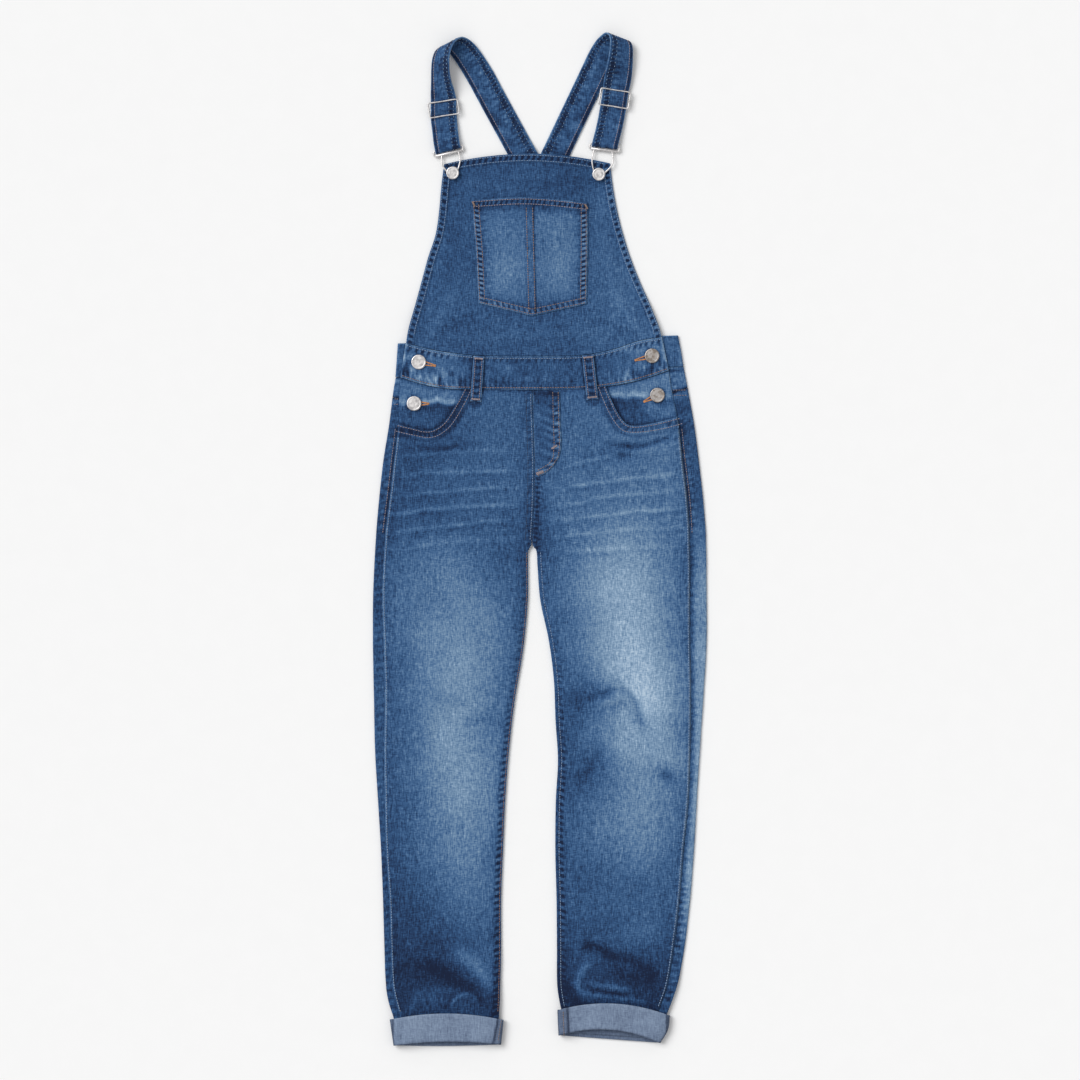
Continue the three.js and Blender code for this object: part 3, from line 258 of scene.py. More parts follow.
# How faded each leg's front is: the share of the width where it is palest, how far it spreads and how much
FADES = {
    "left": Table("y base centre spread amount", [
        [175, 0.30, 0.75, 0.35, 0.06],
        [130, 0.26, 0.75, 0.35, 0.11],
        [90, 0.27, 0.74, 0.38, 0.11],
        [45, 0.27, 0.75, 0.40, 0.10],
        [14, 0.28, 0.60, 0.50, 0.05],
        [-8, 0.28, 0.42, 0.38, 0.15],
        [-60, 0.29, 0.48, 0.38, 0.30],
        [-110, 0.30, 0.53, 0.37, 0.40],
        [-200, 0.30, 0.55, 0.38, 0.36],
        [-270, 0.30, 0.63, 0.38, 0.38],
        [-340, 0.27, 0.65, 0.38, 0.33],
        [-390, 0.24, 0.68, 0.38, 0.27],
        [-430, 0.20, 0.78, 0.38, 0.20],
        [-470, 0.16, 0.90, 0.36, 0.18],
        [-530, 0.12, 0.80, 0.30, 0.05],
    ]),
    "right": Table("y base centre spread amount", [
        [175, 0.37, 0.10, 0.35, 0.12],
        [130, 0.38, 0.08, 0.30, 0.14],
        [75, 0.39, 0.20, 0.50, 0.10],
        [40, 0.37, 0.38, 0.45, 0.14],
        [16, 0.35, 0.40, 0.40, 0.22],
        [-10, 0.31, 0.42, 0.34, 0.34],
        [-50, 0.31, 0.43, 0.36, 0.47],
        [-100, 0.31, 0.44, 0.35, 0.49],
        [-150, 0.31, 0.40, 0.35, 0.56],
        [-190, 0.31, 0.33, 0.30, 0.56],
        [-225, 0.31, 0.35, 0.34, 0.46],
        [-258, 0.30, 0.27, 0.36, 0.39],
        [-290, 0.29, 0.32, 0.37, 0.31],
        [-330, 0.33, 0.35, 0.36, 0.28],
        [-362, 0.32, 0.32, 0.33, 0.20],
        [-392, 0.31, 0.20, 0.36, 0.08],
        [-430, 0.29, 0.20, 0.40, 0.06],
        [-470, 0.17, 0.40, 0.50, 0.08],
        [-530, 0.07, 0.50, 0.40, 0.02],
    ]),
}
# Smaller places where the cloth is lighter or darker: some have lost or kept their indigo, and the dark ones
# along fold troughs are painted shade.
FADE_AND_SHADE_PATCHES = Table("number x y angle length width amount", [
    [0, -96, -92, -40, 90, 16, -0.09],
    [1, -112, -136, 70, 60, 14, -0.08],
    [2, -108, -184, -20, 60, 10, -0.08],
    [3, -82, -196, 10, 36, 9, 0.08],
    [4, -118, -238, 78, 70, 16, 0.06],
    [5, -66, -206, -10, 34, 9, -0.10],
    [6, -126, -500, -16, 90, 16, -0.08],
    [10, -84, -462, 10, 80, 12, -0.06],
    [11, -112, -520, -4, 60, 8, 0.08],
    [12, 0, 16, 90, 70, 18, -0.12],
    [13, 70, -172, 28, 66, 9, -0.10],
    [14, 94, -186, -18, 44, 9, -0.10],
    [15, 114, -206, -60, 50, 8, -0.16],
    [16, 144, -268, -24, 34, 10, -0.16],
    [17, 58, -258, 60, 76, 14, -0.08],
    [18, 40, -196, 75, 70, 12, -0.08],
    [19, 92, -238, -30, 60, 9, 0.06],
    [25, 118, -452, 8, 90, 14, 0.07],
    [26, 112, 108, 12, 90, 6, -0.12],
    [27, 96, 98, 0, 30, 12, -0.10],
    [28, 130, 126, 10, 70, 6, 0.10],
    [29, -144, 116, 4, 40, 6, 0.08],
    [30, -110, 106, 4, 60, 6, -0.08],
])
WHISKERS = Table("number xFrom yFrom xTo yTo width amount", [
    [0, -160, 97, -20, 103, 2.2, 0.10],
    [1, -166, 74, -12, 80, 2.4, 0.14],
    [2, -168, 51, -14, 60, 2.2, 0.12],
    [3, -170, 30, -14, 41, 2.4, 0.15],
    [4, -170, 8, -18, 24, 2.4, 0.12],
    [5, 30, 84, 92, 98, 2.0, 0.10],
    [6, 14, 57, 162, 76, 2.4, 0.14],
    [7, 12, 38, 160, 57, 2.2, 0.12],
    [8, 12, 21, 166, 37, 2.4, 0.15],
    [9, 18, 4, 172, 15, 2.2, 0.11],
    [10, -160, -9, -30, 2, 3.0, 0.08],
    [11, 20, -14, 165, -6, 3.0, 0.08],
])
SEAT_FADES = Table("number x y angle length width amount", [
    [0, -86, 60, 0, 150, 90, 0.16],
    [1, 86, 60, 0, 150, 90, 0.16],
    [2, -110, -190, 90, 240, 44, 0.14],
    [3, 104, -190, 90, 240, 44, 0.14],
])
BIB_FOLDS = Table("number x y angle length width height", [
    [0, -112, 262, 64, 70, 7, 0.5],
    [1, -96, 246, 30, 60, 6, -0.45],
    [2, 100, 262, -58, 60, 7, 0.5],
    [3, 84, 246, -24, 60, 6, -0.45],
    [4, -20, 236, 3, 130, 5, 0.35],
    [5, -60, 410, -8, 80, 8, 0.3],
    [6, 38, 412, 6, 80, 8, -0.3],
    [7, 76, 340, -80, 90, 9, 0.35],
    [8, -100, 340, 82, 90, 9, -0.3],
])
CUFF_FOLDS = Table("number x y angle length width height", [
    [0, -140, -562, 80, 40, 9, 0.4],
    [1, -100, -558, -70, 40, 12, -0.4],
    [2, -70, -564, 84, 40, 8, 0.35],
    [3, 60, -550, 76, 40, 10, 0.4],
    [4, 96, -548, -78, 40, 12, -0.4],
    [5, 124, -556, 70, 40, 8, 0.4],
])
# Creases and ridges that run along curves over the front panels: width, height, change of colour and points.
# The change of colour is painted shade in the creases and painted light on the ridges.
STROKES = [
    (9, -0.7, -0.17, [(-140, -484), (-112, -495), (-92, -509), (-78, -516), (-68, -528), (-60, -541)]),
    (8, 1.1, 0.20, [(-104, -462), (-90, -476), (-75, -488), (-62, -504), (-53, -526)]),
    (2.0, 1.2, 0.20, [(-104, -541), (-100, -531), (-93, -524), (-83, -521.5), (-75, -526), (-70, -537)]),
    (2.0, -0.5, -0.14, [(-109, -541), (-104, -530), (-97, -522)]),
    (9, 0.5, 0.08, [(-150, -520), (-130, -528), (-112, -534)]),
    (4, 0.5, 0.08, [(-152, -548), (-148, -536), (-140, -529)]),
    (5.5, -0.9, -0.24, [(44, -469), (58, -467), (71, -471), (83, -478), (93, -485)]),
    (8, -0.8, -0.16, [(84, -480), (106, -484), (121, -492), (138, -503)]),
    (9, -0.5, -0.12, [(70, -496), (95, -500), (120, -505), (138, -514)]),
    (4.2, 1.2, 0.22, [(64, -478), (56, -486), (47, -498), (43, -510), (48, -519), (60, -523), (83, -526)]),
    (3.0, 0.9, 0.18, [(72, -524), (90, -526), (106, -528), (124, -531)]),
    (3.2, 0.9, 0.20, [(51, -507), (70, -512), (92, -515), (110, -518)]),
    (2.0, -0.5, -0.16, [(53, -516), (69, -518), (87, -521), (100, -523)]),
    (5, -0.4, -0.12, [(31, -500), (32, -515), (44, -532), (70, -536)]),
    (3.6, -0.8, -0.16, [(52, -184), (70, -177), (92, -172), (106, -180), (115, -201), (116, -224)]),
    (3.2, 0.6, 0.08, [(58, -192), (76, -186), (96, -184)]),
    (5, -0.4, -0.08, [(69, -241), (60, -256), (50, -272), (46, -288)]),
    (5, -0.5, -0.12, [(138, -264), (146, -272), (152, -284)]),
    (3.0, -0.7, -0.16, [(66, 113), (90, 110), (115, 108), (140, 115), (160, 126)]),
    (3.0, 0.6, 0.08, [(76, 104), (104, 101), (134, 106)]),
    (4, -0.5, -0.14, [(88, 99), (98, 97), (108, 98)]),
    (3.0, -0.6, -0.12, [(-152, 112), (-128, 104), (-104, 106), (-84, 114)]),
    (3.0, 0.6, 0.08, [(-150, 120), (-128, 114), (-110, 116)]),
]

CUFF = {
    "left": {
        "rings": Table("share xLeft yLeft xRight yRight", [
            [0, -172.7, -551.0, -41.7, -551.4],
            [1, -168.4, -580.9, -44.6, -579.8],
        ]),
        "front": (7.6, 4.4),
        "back": (1.0, -1.2),
        "lift": (-486, -540),
        "leg_end": (-577, -577),
        "front_end": (-573, -573),
        "seam": (0.947, 0.90, 1),
    },
    "right": {
        "rings": Table("share xLeft yLeft xRight yRight", [
            [0, 19.9, -540.0, 149.4, -546.4],
            [0.5, 20.4, -555.0, 147.2, -562.5],
            [1, 21.2, -569.3, 138.4, -578.0],
        ]),
        "front": (11.0, 11.4),
        "back": (1.0, 0),
        "lift": (-474, -527),
        "leg_end": (-566, -573),
        "front_end": (-559, -562),
        "seam": (0.092, 0.105, -1),
    },
}
STRAP_BACK = {
    "left": {"start": (-19.8, 443.9), "along": (-0.481, 0.877), "out": -1},
    "right": {"start": (17.5, 443.1), "along": (0.43, 0.903), "out": 1},
}
STRAP_RISE = {
    "left": [(-248, 2.9), (-231, 2.9), (-207, 1.0), (-106, 1.0), (-93, 2.5), (-78, 3.3), (-42, 3.3),
             (-14, 3.3), (-2, 2.4), (11, 1.0), (70, 1.0), (108, 1.1)],
    "right": [(-241, 2.9), (-226, 2.9), (-203, 1.0), (-100, 1.0), (0, 1.0), (60, 1.0), (104, 1.1)],
}
STRAP_TURN = {
    "left": [
        [-104.5, 560.0, 2.5, -77.0, 571.5, 4.0],
        [-113.0, 565.5, 5.0, -88.0, 577.3, 10.0],
        [-119.5, 562.0, 7.0, -96.0, 573.5, 17.0],
        [-123.3, 553.0, 7.0, -102.0, 562.5, 21.5],
        [-124.6, 541.5, 5.5, -104.2, 547.5, 22.0],
        [-125.0, 526.0, 4.2, -102.6, 530.0, 16.5],
        [-125.6, 512.0, 3.7, -98.4, 516.5, 7.2],
    ],
    "right": [
        [85.3, 549.5, 1.6, 57.3, 562.5, 2.0],
        [94.5, 564.5, 3.0, 65.5, 575.0, 4.5],
        [102.5, 572.5, 6.0, 75.5, 582.3, 10.5],
        [106.0, 567.0, 8.0, 80.0, 577.5, 15.5],
        [106.5, 557.0, 7.5, 80.3, 565.0, 17.5],
        [106.0, 541.0, 5.8, 77.2, 546.5, 14.5],
        [104.2, 525.0, 4.0, 73.6, 530.5, 6.6],
    ],
}
HARDWARE = {
    "left": {
        "slider_high": (-110.7, 504.0),
        "slider_low": (-111.0, 487.5),
        "slider_tilt": 9.0,
        "below": [(-109.0, 470.5, 3.6), (-107.6, 458.5, 4.8)],
        "buckle": (-104.75, 444.5),
        "buckle_tilt": 13.6,
        "button": (-100.4, 421.7),
        "loop_from": -8.4,
        "loop_to": 11,
        "loop_out": (-112.4, 431.0),
        "loop_back": (-91.8, 436.6),
    },
    "right": {
        "slider_high": (87.0, 516.8),
        "slider_low": (84.4, 498.2),
        "slider_tilt": -9.0,
        "below": [(80.5, 478.0, 3.6), (77.0, 463.5, 4.8)],
        "buckle": (73.9, 448.2),
        "buckle_tilt": -6.5,
        "button": (67.5, 420.2),
        "loop_from": -11.7,
        "loop_to": 9,
        "loop_out": (59.8, 434.5),
        "loop_back": (83.4, 432.4),
    },
}
POCKET = {
    "left": [(-78.2, 390.4), (-73.4, 330.0), (-70.6, 272.3)],
    "right": [(54.6, 387.3), (54.6, 330.0), (53.6, 271.4)],
    "high": (-13.1, 393.4),
    "low": (-9.2, 257.6),
    "seam": [(-12.6, 393.4), (-9.2, 257.6)],
}
FLY = Table("y xLeft xRight", [
    [171.5, -7.6, 22.7],
    [137, -6.6, 23.3],
    [108, -5.8, 24.1],
    [93, -5.5, 20.5],
    [80, -5.3, 10.2],
    [72, -5.2, -2.4],
])
BELT_LOOPS = {
    "left": {"high": (-70.1, 211.0), "low": (-73.8, 159.0), "half": 6.2},
    "right": {"high": (54.8, 212.4), "low": (60.3, 161.4), "half": 6.6},
}
SIDE_BUTTONS = {
    "waist_left": {"at": (-139.4, 204.5), "hole": (-120.4, 200.2)},
    "waist_right": {"at": (128.7, 211.6), "hole": (109.5, 206.5)},
    "hip_left": {"at": (-144.7, 156.9), "hole": (-128.0, 156.6)},
    "hip_right": {"at": (134.9, 166.5), "hole": (119.5, 159.0)},
}
BUTTON_REST = {"waist": BAND_FOLD, "hip": LEG_FOLD}
BUTTON_CLOTH = {"waist": BAND_LOW + FRONT_BAND, "hip": FRONT_LOW + FACING}
BACK_BAND_ROWS = [(-163.5, 226.0, 158.6, 235.2), (-164.8, 207.0, 162.2, 217.0), (-166.2, 187.3, 165.0, 199.3)]


def curve(points):
    """Points at shares from 0 to 1 along a smooth curve, spaced as the given points are numbered."""
    points = np.array(points, float)

    def at(t):
        t = np.asarray(t, float)
        last = len(points) - 1
        place = np.clip(t, 0, 1) * last
        i = np.clip(np.floor(place).astype(int), 0, last - 1)
        w = (place - i)[..., None]
        p1, p2 = points[i], points[i + 1]
        p0 = np.where((i == 0)[..., None], p1, points[np.maximum(i - 1, 0)])
        p3 = np.where((i == last - 1)[..., None], p2, points[np.minimum(i + 2, last)])
        v0, v1 = (p2 - p0) / 2, (p3 - p1) / 2
        return (2 * p1 - 2 * p2 + v0 + v1) * w**3 + (-3 * p1 + 3 * p2 - 2 * v0 - v1) * w**2 + v0 * w + p1

    return at


class Path:
    """A centripetal curve through points in space."""

    def __init__(self, points, closed=False):
        self.points = np.array(points, float)
        self.closed = closed

    def at(self, ts):
        p = self.points
        n = len(p)
        ts = np.atleast_1d(np.asarray(ts, float))
        place = (n if self.closed else n - 1) * ts
        i = np.floor(place).astype(int)
        w = place - i
        if self.closed:
            i = i % n
            p0, p1, p2, p3 = (p[(i + k) % n] for k in (-1, 0, 1, 2))
        else:
            end = (i >= n - 1)
            i = np.where(end, n - 2, i)
            w = np.where(end, 1.0, w)
            extended = np.vstack([2 * p[0] - p[1], p, 2 * p[-1] - p[-2]])
            p0, p1, p2, p3 = (extended[i + k] for k in range(4))
        d0, d1, d2 = (np.maximum(np.linalg.norm(b - a, axis=1) ** 0.5, 1e-4)
                      for a, b in ((p0, p1), (p1, p2), (p2, p3)))
        d0, d1, d2 = d0[:, None], d1[:, None], d2[:, None]
        t1 = ((p1 - p0) / d0 - (p2 - p0) / (d0 + d1) + (p2 - p1) / d1) * d1
        t2 = ((p2 - p1) / d1 - (p3 - p1) / (d1 + d2) + (p3 - p2) / d2) * d1
        w = w[:, None]
        return p1 + t1 * w + (-3 * p1 + 3 * p2 - 2 * t1 - t2) * w**2 + (2 * p1 - 2 * p2 + t1 + t2) * w**3


def noise(x, y, size, seed):
    """Smooth noise from -1 to 1 with features of about the given size."""
    cells = np.random.default_rng(seed).uniform(-1, 1, (97, 97))
    gx, gy = np.asarray(x, float) / size, np.asarray(y, float) / size
    ix, iy = np.floor(gx).astype(int), np.floor(gy).astype(int)
    fx, fy = gx - ix, gy - iy
    fx, fy = fx * fx * (3 - 2 * fx), fy * fy * (3 - 2 * fy)
    a, b = cells[ix % 97, iy % 97], cells[(ix + 1) % 97, iy % 97]
    c, d = cells[ix % 97, (iy + 1) % 97], cells[(ix + 1) % 97, (iy + 1) % 97]
    return mix(mix(a, b, fx), mix(c, d, fx), fy)


def patches(table, x, y):
    total = np.zeros(np.broadcast(x, y).shape)
    for _, cx, cy, angle, length, width, amount in table.rows:
        turn = math.radians(angle)
        along = (x - cx) * math.cos(turn) + (y - cy) * math.sin(turn)
        across = (y - cy) * math.cos(turn) - (x - cx) * math.sin(turn)
        total += amount * np.exp(-((2 * along / length) ** 2) - (across / width) ** 2)
    return total


def beside(points, half, reach, x, y):
    """How near a place is to a strip of the given half width, from 1 at the strip to 0."""
    gap, _ = distance_to(points, x, y)
    return bell(np.maximum(0, gap - half), reach)


def loop_shade(x, y):
    """The shade beside the belt loops and round the side buttons."""
    shade = 0
    for loop in BELT_LOOPS.values():
        shade = shade + 0.20 * beside([loop["low"], loop["high"]], loop["half"], 1.9, x, y)
    for spec in SIDE_BUTTONS.values():
        gap = np.hypot(x - spec["at"][0], y - spec["at"][1]) - WAIST_BUTTON
        shade = shade + 0.16 * bell(gap, 2.2)
    return shade


def distance_to(points, x, y):
    """How far each place is from a line of points, and how far along the line its nearest point is."""
    points = np.asarray(points, float)
    flat = np.stack([np.ravel(x), np.ravel(y)], -1)
    lengths = np.r_[0, np.cumsum(np.linalg.norm(np.diff(points, axis=0), axis=1))]
    best = np.full(len(flat), 1e9)
    along = np.zeros(len(flat))
    for i in range(len(points) - 1):
        a, b = points[i], points[i + 1]
        t = np.clip(((flat - a) @ (b - a)) / ((b - a) @ (b - a)), 0, 1)
        d = np.linalg.norm(flat - a - t[:, None] * (b - a), axis=1)
        nearer = d < best
        best = np.where(nearer, d, best)
        along = np.where(nearer, lengths[i] + t * (lengths[i + 1] - lengths[i]), along)
    return best.reshape(np.shape(x)), along.reshape(np.shape(x))


def roping(distance, along, reach, pitch, seed):
    """The puckers beside a seam: uneven ridges across it that fade away from it."""
    uneven = noise(along, distance * 0.4, pitch * 2.1, seed)
    wave = np.sin(2 * np.pi * along / pitch + 2.4 * uneven)
    strength = 0.65 + 0.35 * noise(along, 0 * along, pitch * 4, seed + 1)
    return bell(distance, reach) * wave * strength


def teeth(distance, along, centre, reach, pitch, seed):
    """A row of hollows beside an edge, where the cloth dips at its stitches: 1 in them, below 0 between."""
    wander = noise(along, 0 * along, pitch * 3.1, seed)
    slant = 0.8 * (distance - centre) / reach
    wave = np.sin(2 * np.pi * along / pitch + 1.9 * wander + slant)
    strength = 0.85 + 0.3 * noise(along, 0 * along, pitch * 2.3, seed + 1)
    hollow = 1.45 * smooth(-0.4, 0.5, wave) - 0.45
    return bell(distance, reach, centre, power=4) * hollow * strength


def hem_wash_and_shadow(distance, along, pitch, seed, amount=0.26, centre=3.9, reach=2.7, width=9.2, tone=0.03):
    """A stitched hem's fading: a pale edge, dark hollows, and a painted shadow line where the hem ends."""
    dark = teeth(distance, along, centre, reach, pitch, seed)
    band = 1 - smooth(width - 1, width + 0.4, distance)
    pale = 0.24 * bell(distance, 0.9) + tone * band
    # the last term paints a shadow line just past the hem's end
    return pale - amount * dark - 0.08 * bell(distance - width, 1.3, 1)


# Meshes


def place(points):
    return (np.asarray(points, float).reshape(-1, 3) + SHIFT) / 1000


def mesh_object(name, points, faces, material, wash_and_shade=None):
    mesh = bpy.data.meshes.new(name)
    mesh.from_pydata(place(points).tolist(), [], [list(map(int, f)) for f in faces])
    mesh.polygons.foreach_set("use_smooth", [True] * len(mesh.polygons))
    if wash_and_shade is not None:
        tint = mesh.attributes.new("wash_and_shade", "FLOAT", "POINT")
        tint.data.foreach_set("value", np.ravel(wash_and_shade).astype(np.float32))
    mesh.materials.append(material)
    mesh.update()
    piece = bpy.data.objects.new(name, mesh)
    bpy.context.scene.collection.objects.link(piece)
    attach(piece, "root")
    return piece


def wall(outside, inside, ring=False):
    """A closed wall between two grids of points, as points and faces that look out."""
    rows, columns = outside.shape[:2]
    inner = rows * columns
    spans = columns if ring else columns - 1
    i = np.arange(rows - 1)[:, None]
    j = np.arange(spans)[None, :]
    k = (j + 1) % columns
    here, above = i * columns, (i + 1) * columns
    out = np.stack([here + j, here + k, above + k, above + j], -1).reshape(-1, 4)
    j, k = np.ravel(j), np.ravel(k)
    top = (rows - 1) * columns
    faces = [
        out,
        out[:, ::-1] + inner,
        np.stack([k, j, inner + j, inner + k], -1),
        np.stack([top + j, top + k, inner + top + k, inner + top + j], -1),
    ]
    if not ring:
        a = np.arange(rows - 1) * columns
        b = a + columns
        faces.append(np.stack([a, b, inner + b, inner + a], -1))
        a, b = a + columns - 1, b + columns - 1
        faces.append(np.stack([b, a, inner + a, inner + b], -1))
    faces = np.vstack(faces)
    points = np.vstack([outside.reshape(-1, 3), inside.reshape(-1, 3)])
    a, b, c = points[faces[:, 0]], points[faces[:, 1]], points[faces[:, 2]]
    d = points[faces[:, 3]]
    volume = np.einsum("ij,ij->i", a, np.cross(b, c)).sum() + np.einsum("ij,ij->i", a, np.cross(c, d)).sum()
    return points, faces if volume > 0 else faces[:, ::-1]


def cloth(name, outside, inside, wash_and_shade, material, replaced=(), ring=False,
          lining=None):
    """A piece of cloth between two grids."""
    points, faces = wall(outside, inside, ring)
    tint = np.broadcast_to(wash_and_shade, outside.shape[:2])
    piece = mesh_object(name, points, faces, material, np.r_[np.ravel(tint), np.ravel(tint)])
    if lining:
        piece.data.materials.append(lining)
        hidden = (faces >= outside.shape[0] * outside.shape[1]).all(axis=1)
        piece.data.polygons.foreach_set("material_index", hidden.astype(np.int32))
    if replaced:
        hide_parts(*replaced)
    middle = (outside + inside) / 2
    if ring:
        middle = np.concatenate([middle, middle[:, :1]], axis=1)
    return piece


def panel_xy(left, right, low, high, us, vs):
    """A four-sided panel's grid in the plane, blended from its edges, which take shares from 0 to 1."""
    u, v = np.meshgrid(us, vs)
    sides = mix(left(v), right(v), u[..., None])
    ends = mix(low(u), high(u), v[..., None])
    zero, one = np.zeros(1), np.ones(1)
    low_side = mix(low(zero), low(one), u[..., None])
    high_side = mix(high(zero), high(one), u[..., None])
    return sides + ends - mix(low_side, high_side, v[..., None])


def with_height(xy, z):
    return np.concatenate([xy, np.broadcast_to(z, xy.shape[:2])[..., None]], axis=-1)


def pair(x, y):
    shape = np.broadcast(x, y).shape
    return np.stack([np.broadcast_to(x, shape), np.broadcast_to(y, shape)], -1)


# Threads: each stitch runs from one point to another, and all of one colour become one mesh

THREADS = {}


def stitch(colour, start, end, radius=0.34):
    THREADS.setdefault(colour, []).append((*start, *end, radius))


def resample(points, pitch):
    points = np.asarray(points, float)
    lengths = np.r_[0, np.cumsum(np.linalg.norm(np.diff(points, axis=0), axis=1))]
    count = max(1, int(round(lengths[-1] / pitch)))
    marks = (np.arange(count + 1) / count) * lengths[-1]
    return np.stack([np.interp(marks, lengths, points[:, k]) for k in range(points.shape[1])], -1)


def run(colour, points, height, pitch=3.0, radius=0.4, sink=0.1):
    """A row of stitches along a line in the plane, on the surface that height gives."""
    line = resample(points, pitch)
    for a, b in zip(line[:-1], line[1:]):
        start, end = mix(a, b, 0.1), mix(a, b, 0.88)
        z = [float(height(np.array([p[0]]), np.array([p[1]]))[0]) + radius - sink for p in (start, end)]
        stitch(colour, (*start, z[0]), (*end, z[1]), radius)


def satin(colour, start, end, height, half, pitch=0.62, radius=0.36):
    """Close stitches across a line, as on a bartack or beside a buttonhole."""
    start, end = np.array(start, float), np.array(end, float)
    way = end - start
    length = np.linalg.norm(way)
    way /= length
    side = np.array([-way[1], way[0]])
    for mark in np.arange(0, length, pitch):
        middle = start + way * mark
        a, b = middle - side * half, middle + side * half
        z = float(height(np.array([middle[0]]), np.array([middle[1]]))[0]) + radius * 0.8
        stitch(colour, (*a, z), (*b, z), radius)


def make_threads():
    sides = 5
    shares = np.array([0.0, 0.22, 0.78, 1.0])
    fatness = np.array([0.15, 1.0, 1.0, 0.15])
    angles = np.arange(sides) * 2 * np.pi / sides
    for colour, rows in THREADS.items():
        data = np.array(rows)
        start, end, radius = data[:, :3], data[:, 3:6], data[:, 6]
        way = end - start
        way /= np.linalg.norm(way, axis=1)[:, None]
        side = np.cross(way, [0, 0, 1.0])
        side /= np.linalg.norm(side, axis=1)[:, None]
        up = np.cross(side, way)
        rings = []
        for share, fat in zip(shares, fatness):
            for angle in angles:
                around = side * math.cos(angle) + up * math.sin(angle)
                rings.append(mix(start, end, share) + around * (radius * fat)[:, None])
        points = np.stack(rings, 1)
        template = []
        for ring in range(len(shares) - 1):
            for k in range(sides):
                n = (k + 1) % sides
                here, above = ring * sides, (ring + 1) * sides
                template.append([here + k, here + n, above + n, above + k])
        count = len(points)
        size = sides * len(shares)
        quads = (np.array(template)[None] + (np.arange(count) * size)[:, None, None]).reshape(-1, 4)
        caps = [[i * size + k for k in range(sides)] for i in range(count)]
        caps += [[i * size + size - 1 - k for k in range(sides)] for i in range(count)]
        faces = quads.tolist() + caps
        mesh_object("thread_" + colour, points.reshape(-1, 3), faces, THREAD_MATERIALS[colour])


# Materials


def nodes_of(name):
    material = bpy.data.materials.new(name)
    material.use_nodes = True
    tree = material.node_tree
    tree.nodes.clear()
    shader = tree.nodes.new("ShaderNodeBsdfPrincipled")
    output = tree.nodes.new("ShaderNodeOutputMaterial")
    tree.links.new(shader.outputs["BSDF"], output.inputs["Surface"])
    return material, tree, shader


def srgb(r, g, b):
    def linear(c):
        c /= 255
        return c / 12.92 if c <= 0.04045 else ((c + 0.055) / 1.055) ** 2.4
    return (linear(r), linear(g), linear(b), 1)


def place_node(tree):
    return tree.nodes.new("ShaderNodeTexCoord").outputs["Object"]


def ramp_node(tree, source, stops):
    """A colour for each value of the source, blended between the stops."""
    ramp = tree.nodes.new("ShaderNodeValToRGB")
    elements = ramp.color_ramp.elements
    for position, _ in stops[2:]:
        elements.new(position)
    for element, (position, colour) in zip(elements, stops):
        element.position = position
        element.color = colour
    tree.links.new(source, ramp.inputs["Fac"])
    return ramp.outputs["Color"]


def math_node(tree, operation, a, b):
    node = tree.nodes.new("ShaderNodeMath")
    node.operation = operation
    for socket, value in zip(node.inputs, (a, b)):
        if isinstance(value, (int, float)):
            socket.default_value = value
        else:
            tree.links.new(value, socket)
    return node.outputs[0]


def noise_node(tree, vector, scale, stretch, turn, detail=2.0):
    """Noise whose grains are stretched, and turned by an angle in the cloth's plane."""
    mapping = tree.nodes.new("ShaderNodeMapping")
    mapping.inputs["Rotation"].default_value = (0, 0, math.radians(turn))
    mapping.inputs["Scale"].default_value = stretch
    tree.links.new(vector, mapping.inputs["Vector"])
    node = tree.nodes.new("ShaderNodeTexNoise")
    node.inputs["Scale"].default_value = scale
    node.inputs["Detail"].default_value = detail
    tree.links.new(mapping.outputs[0], node.inputs["Vector"])
    return node.outputs["Fac"]


def twill_node(tree, vector, turn, pitch):
    mapping = tree.nodes.new("ShaderNodeMapping")
    mapping.inputs["Rotation"].default_value = (0, 0, math.radians(turn))
    tree.links.new(vector, mapping.inputs["Vector"])
    wave = tree.nodes.new("ShaderNodeTexWave")
    wave.inputs["Scale"].default_value = 2 * math.pi * 1000 / pitch / 20
    wave.inputs["Distortion"].default_value = 1.2
    wave.inputs["Detail"].default_value = 2.0
    wave.inputs["Detail Scale"].default_value = 3.0
    tree.links.new(mapping.outputs[0], wave.inputs["Vector"])
    return wave.outputs["Fac"]


INDIGO = [
    (0.0, (15, 29, 57)),
    (0.2, (32, 60, 98)),
    (0.35, (48, 84, 127)),
    (0.5, (73, 108, 149)),
    (0.7, (114, 143, 172)),
    (0.85, (142, 169, 196)),
    (1.0, (180, 200, 218)),
]
WRONG_SIDE = [
    (0.0, (58, 70, 92)),
    (0.3, (96, 111, 136)),
    (0.5, (121, 138, 163)),
    (0.75, (146, 163, 186)),
    (1.0, (184, 196, 212)),
]


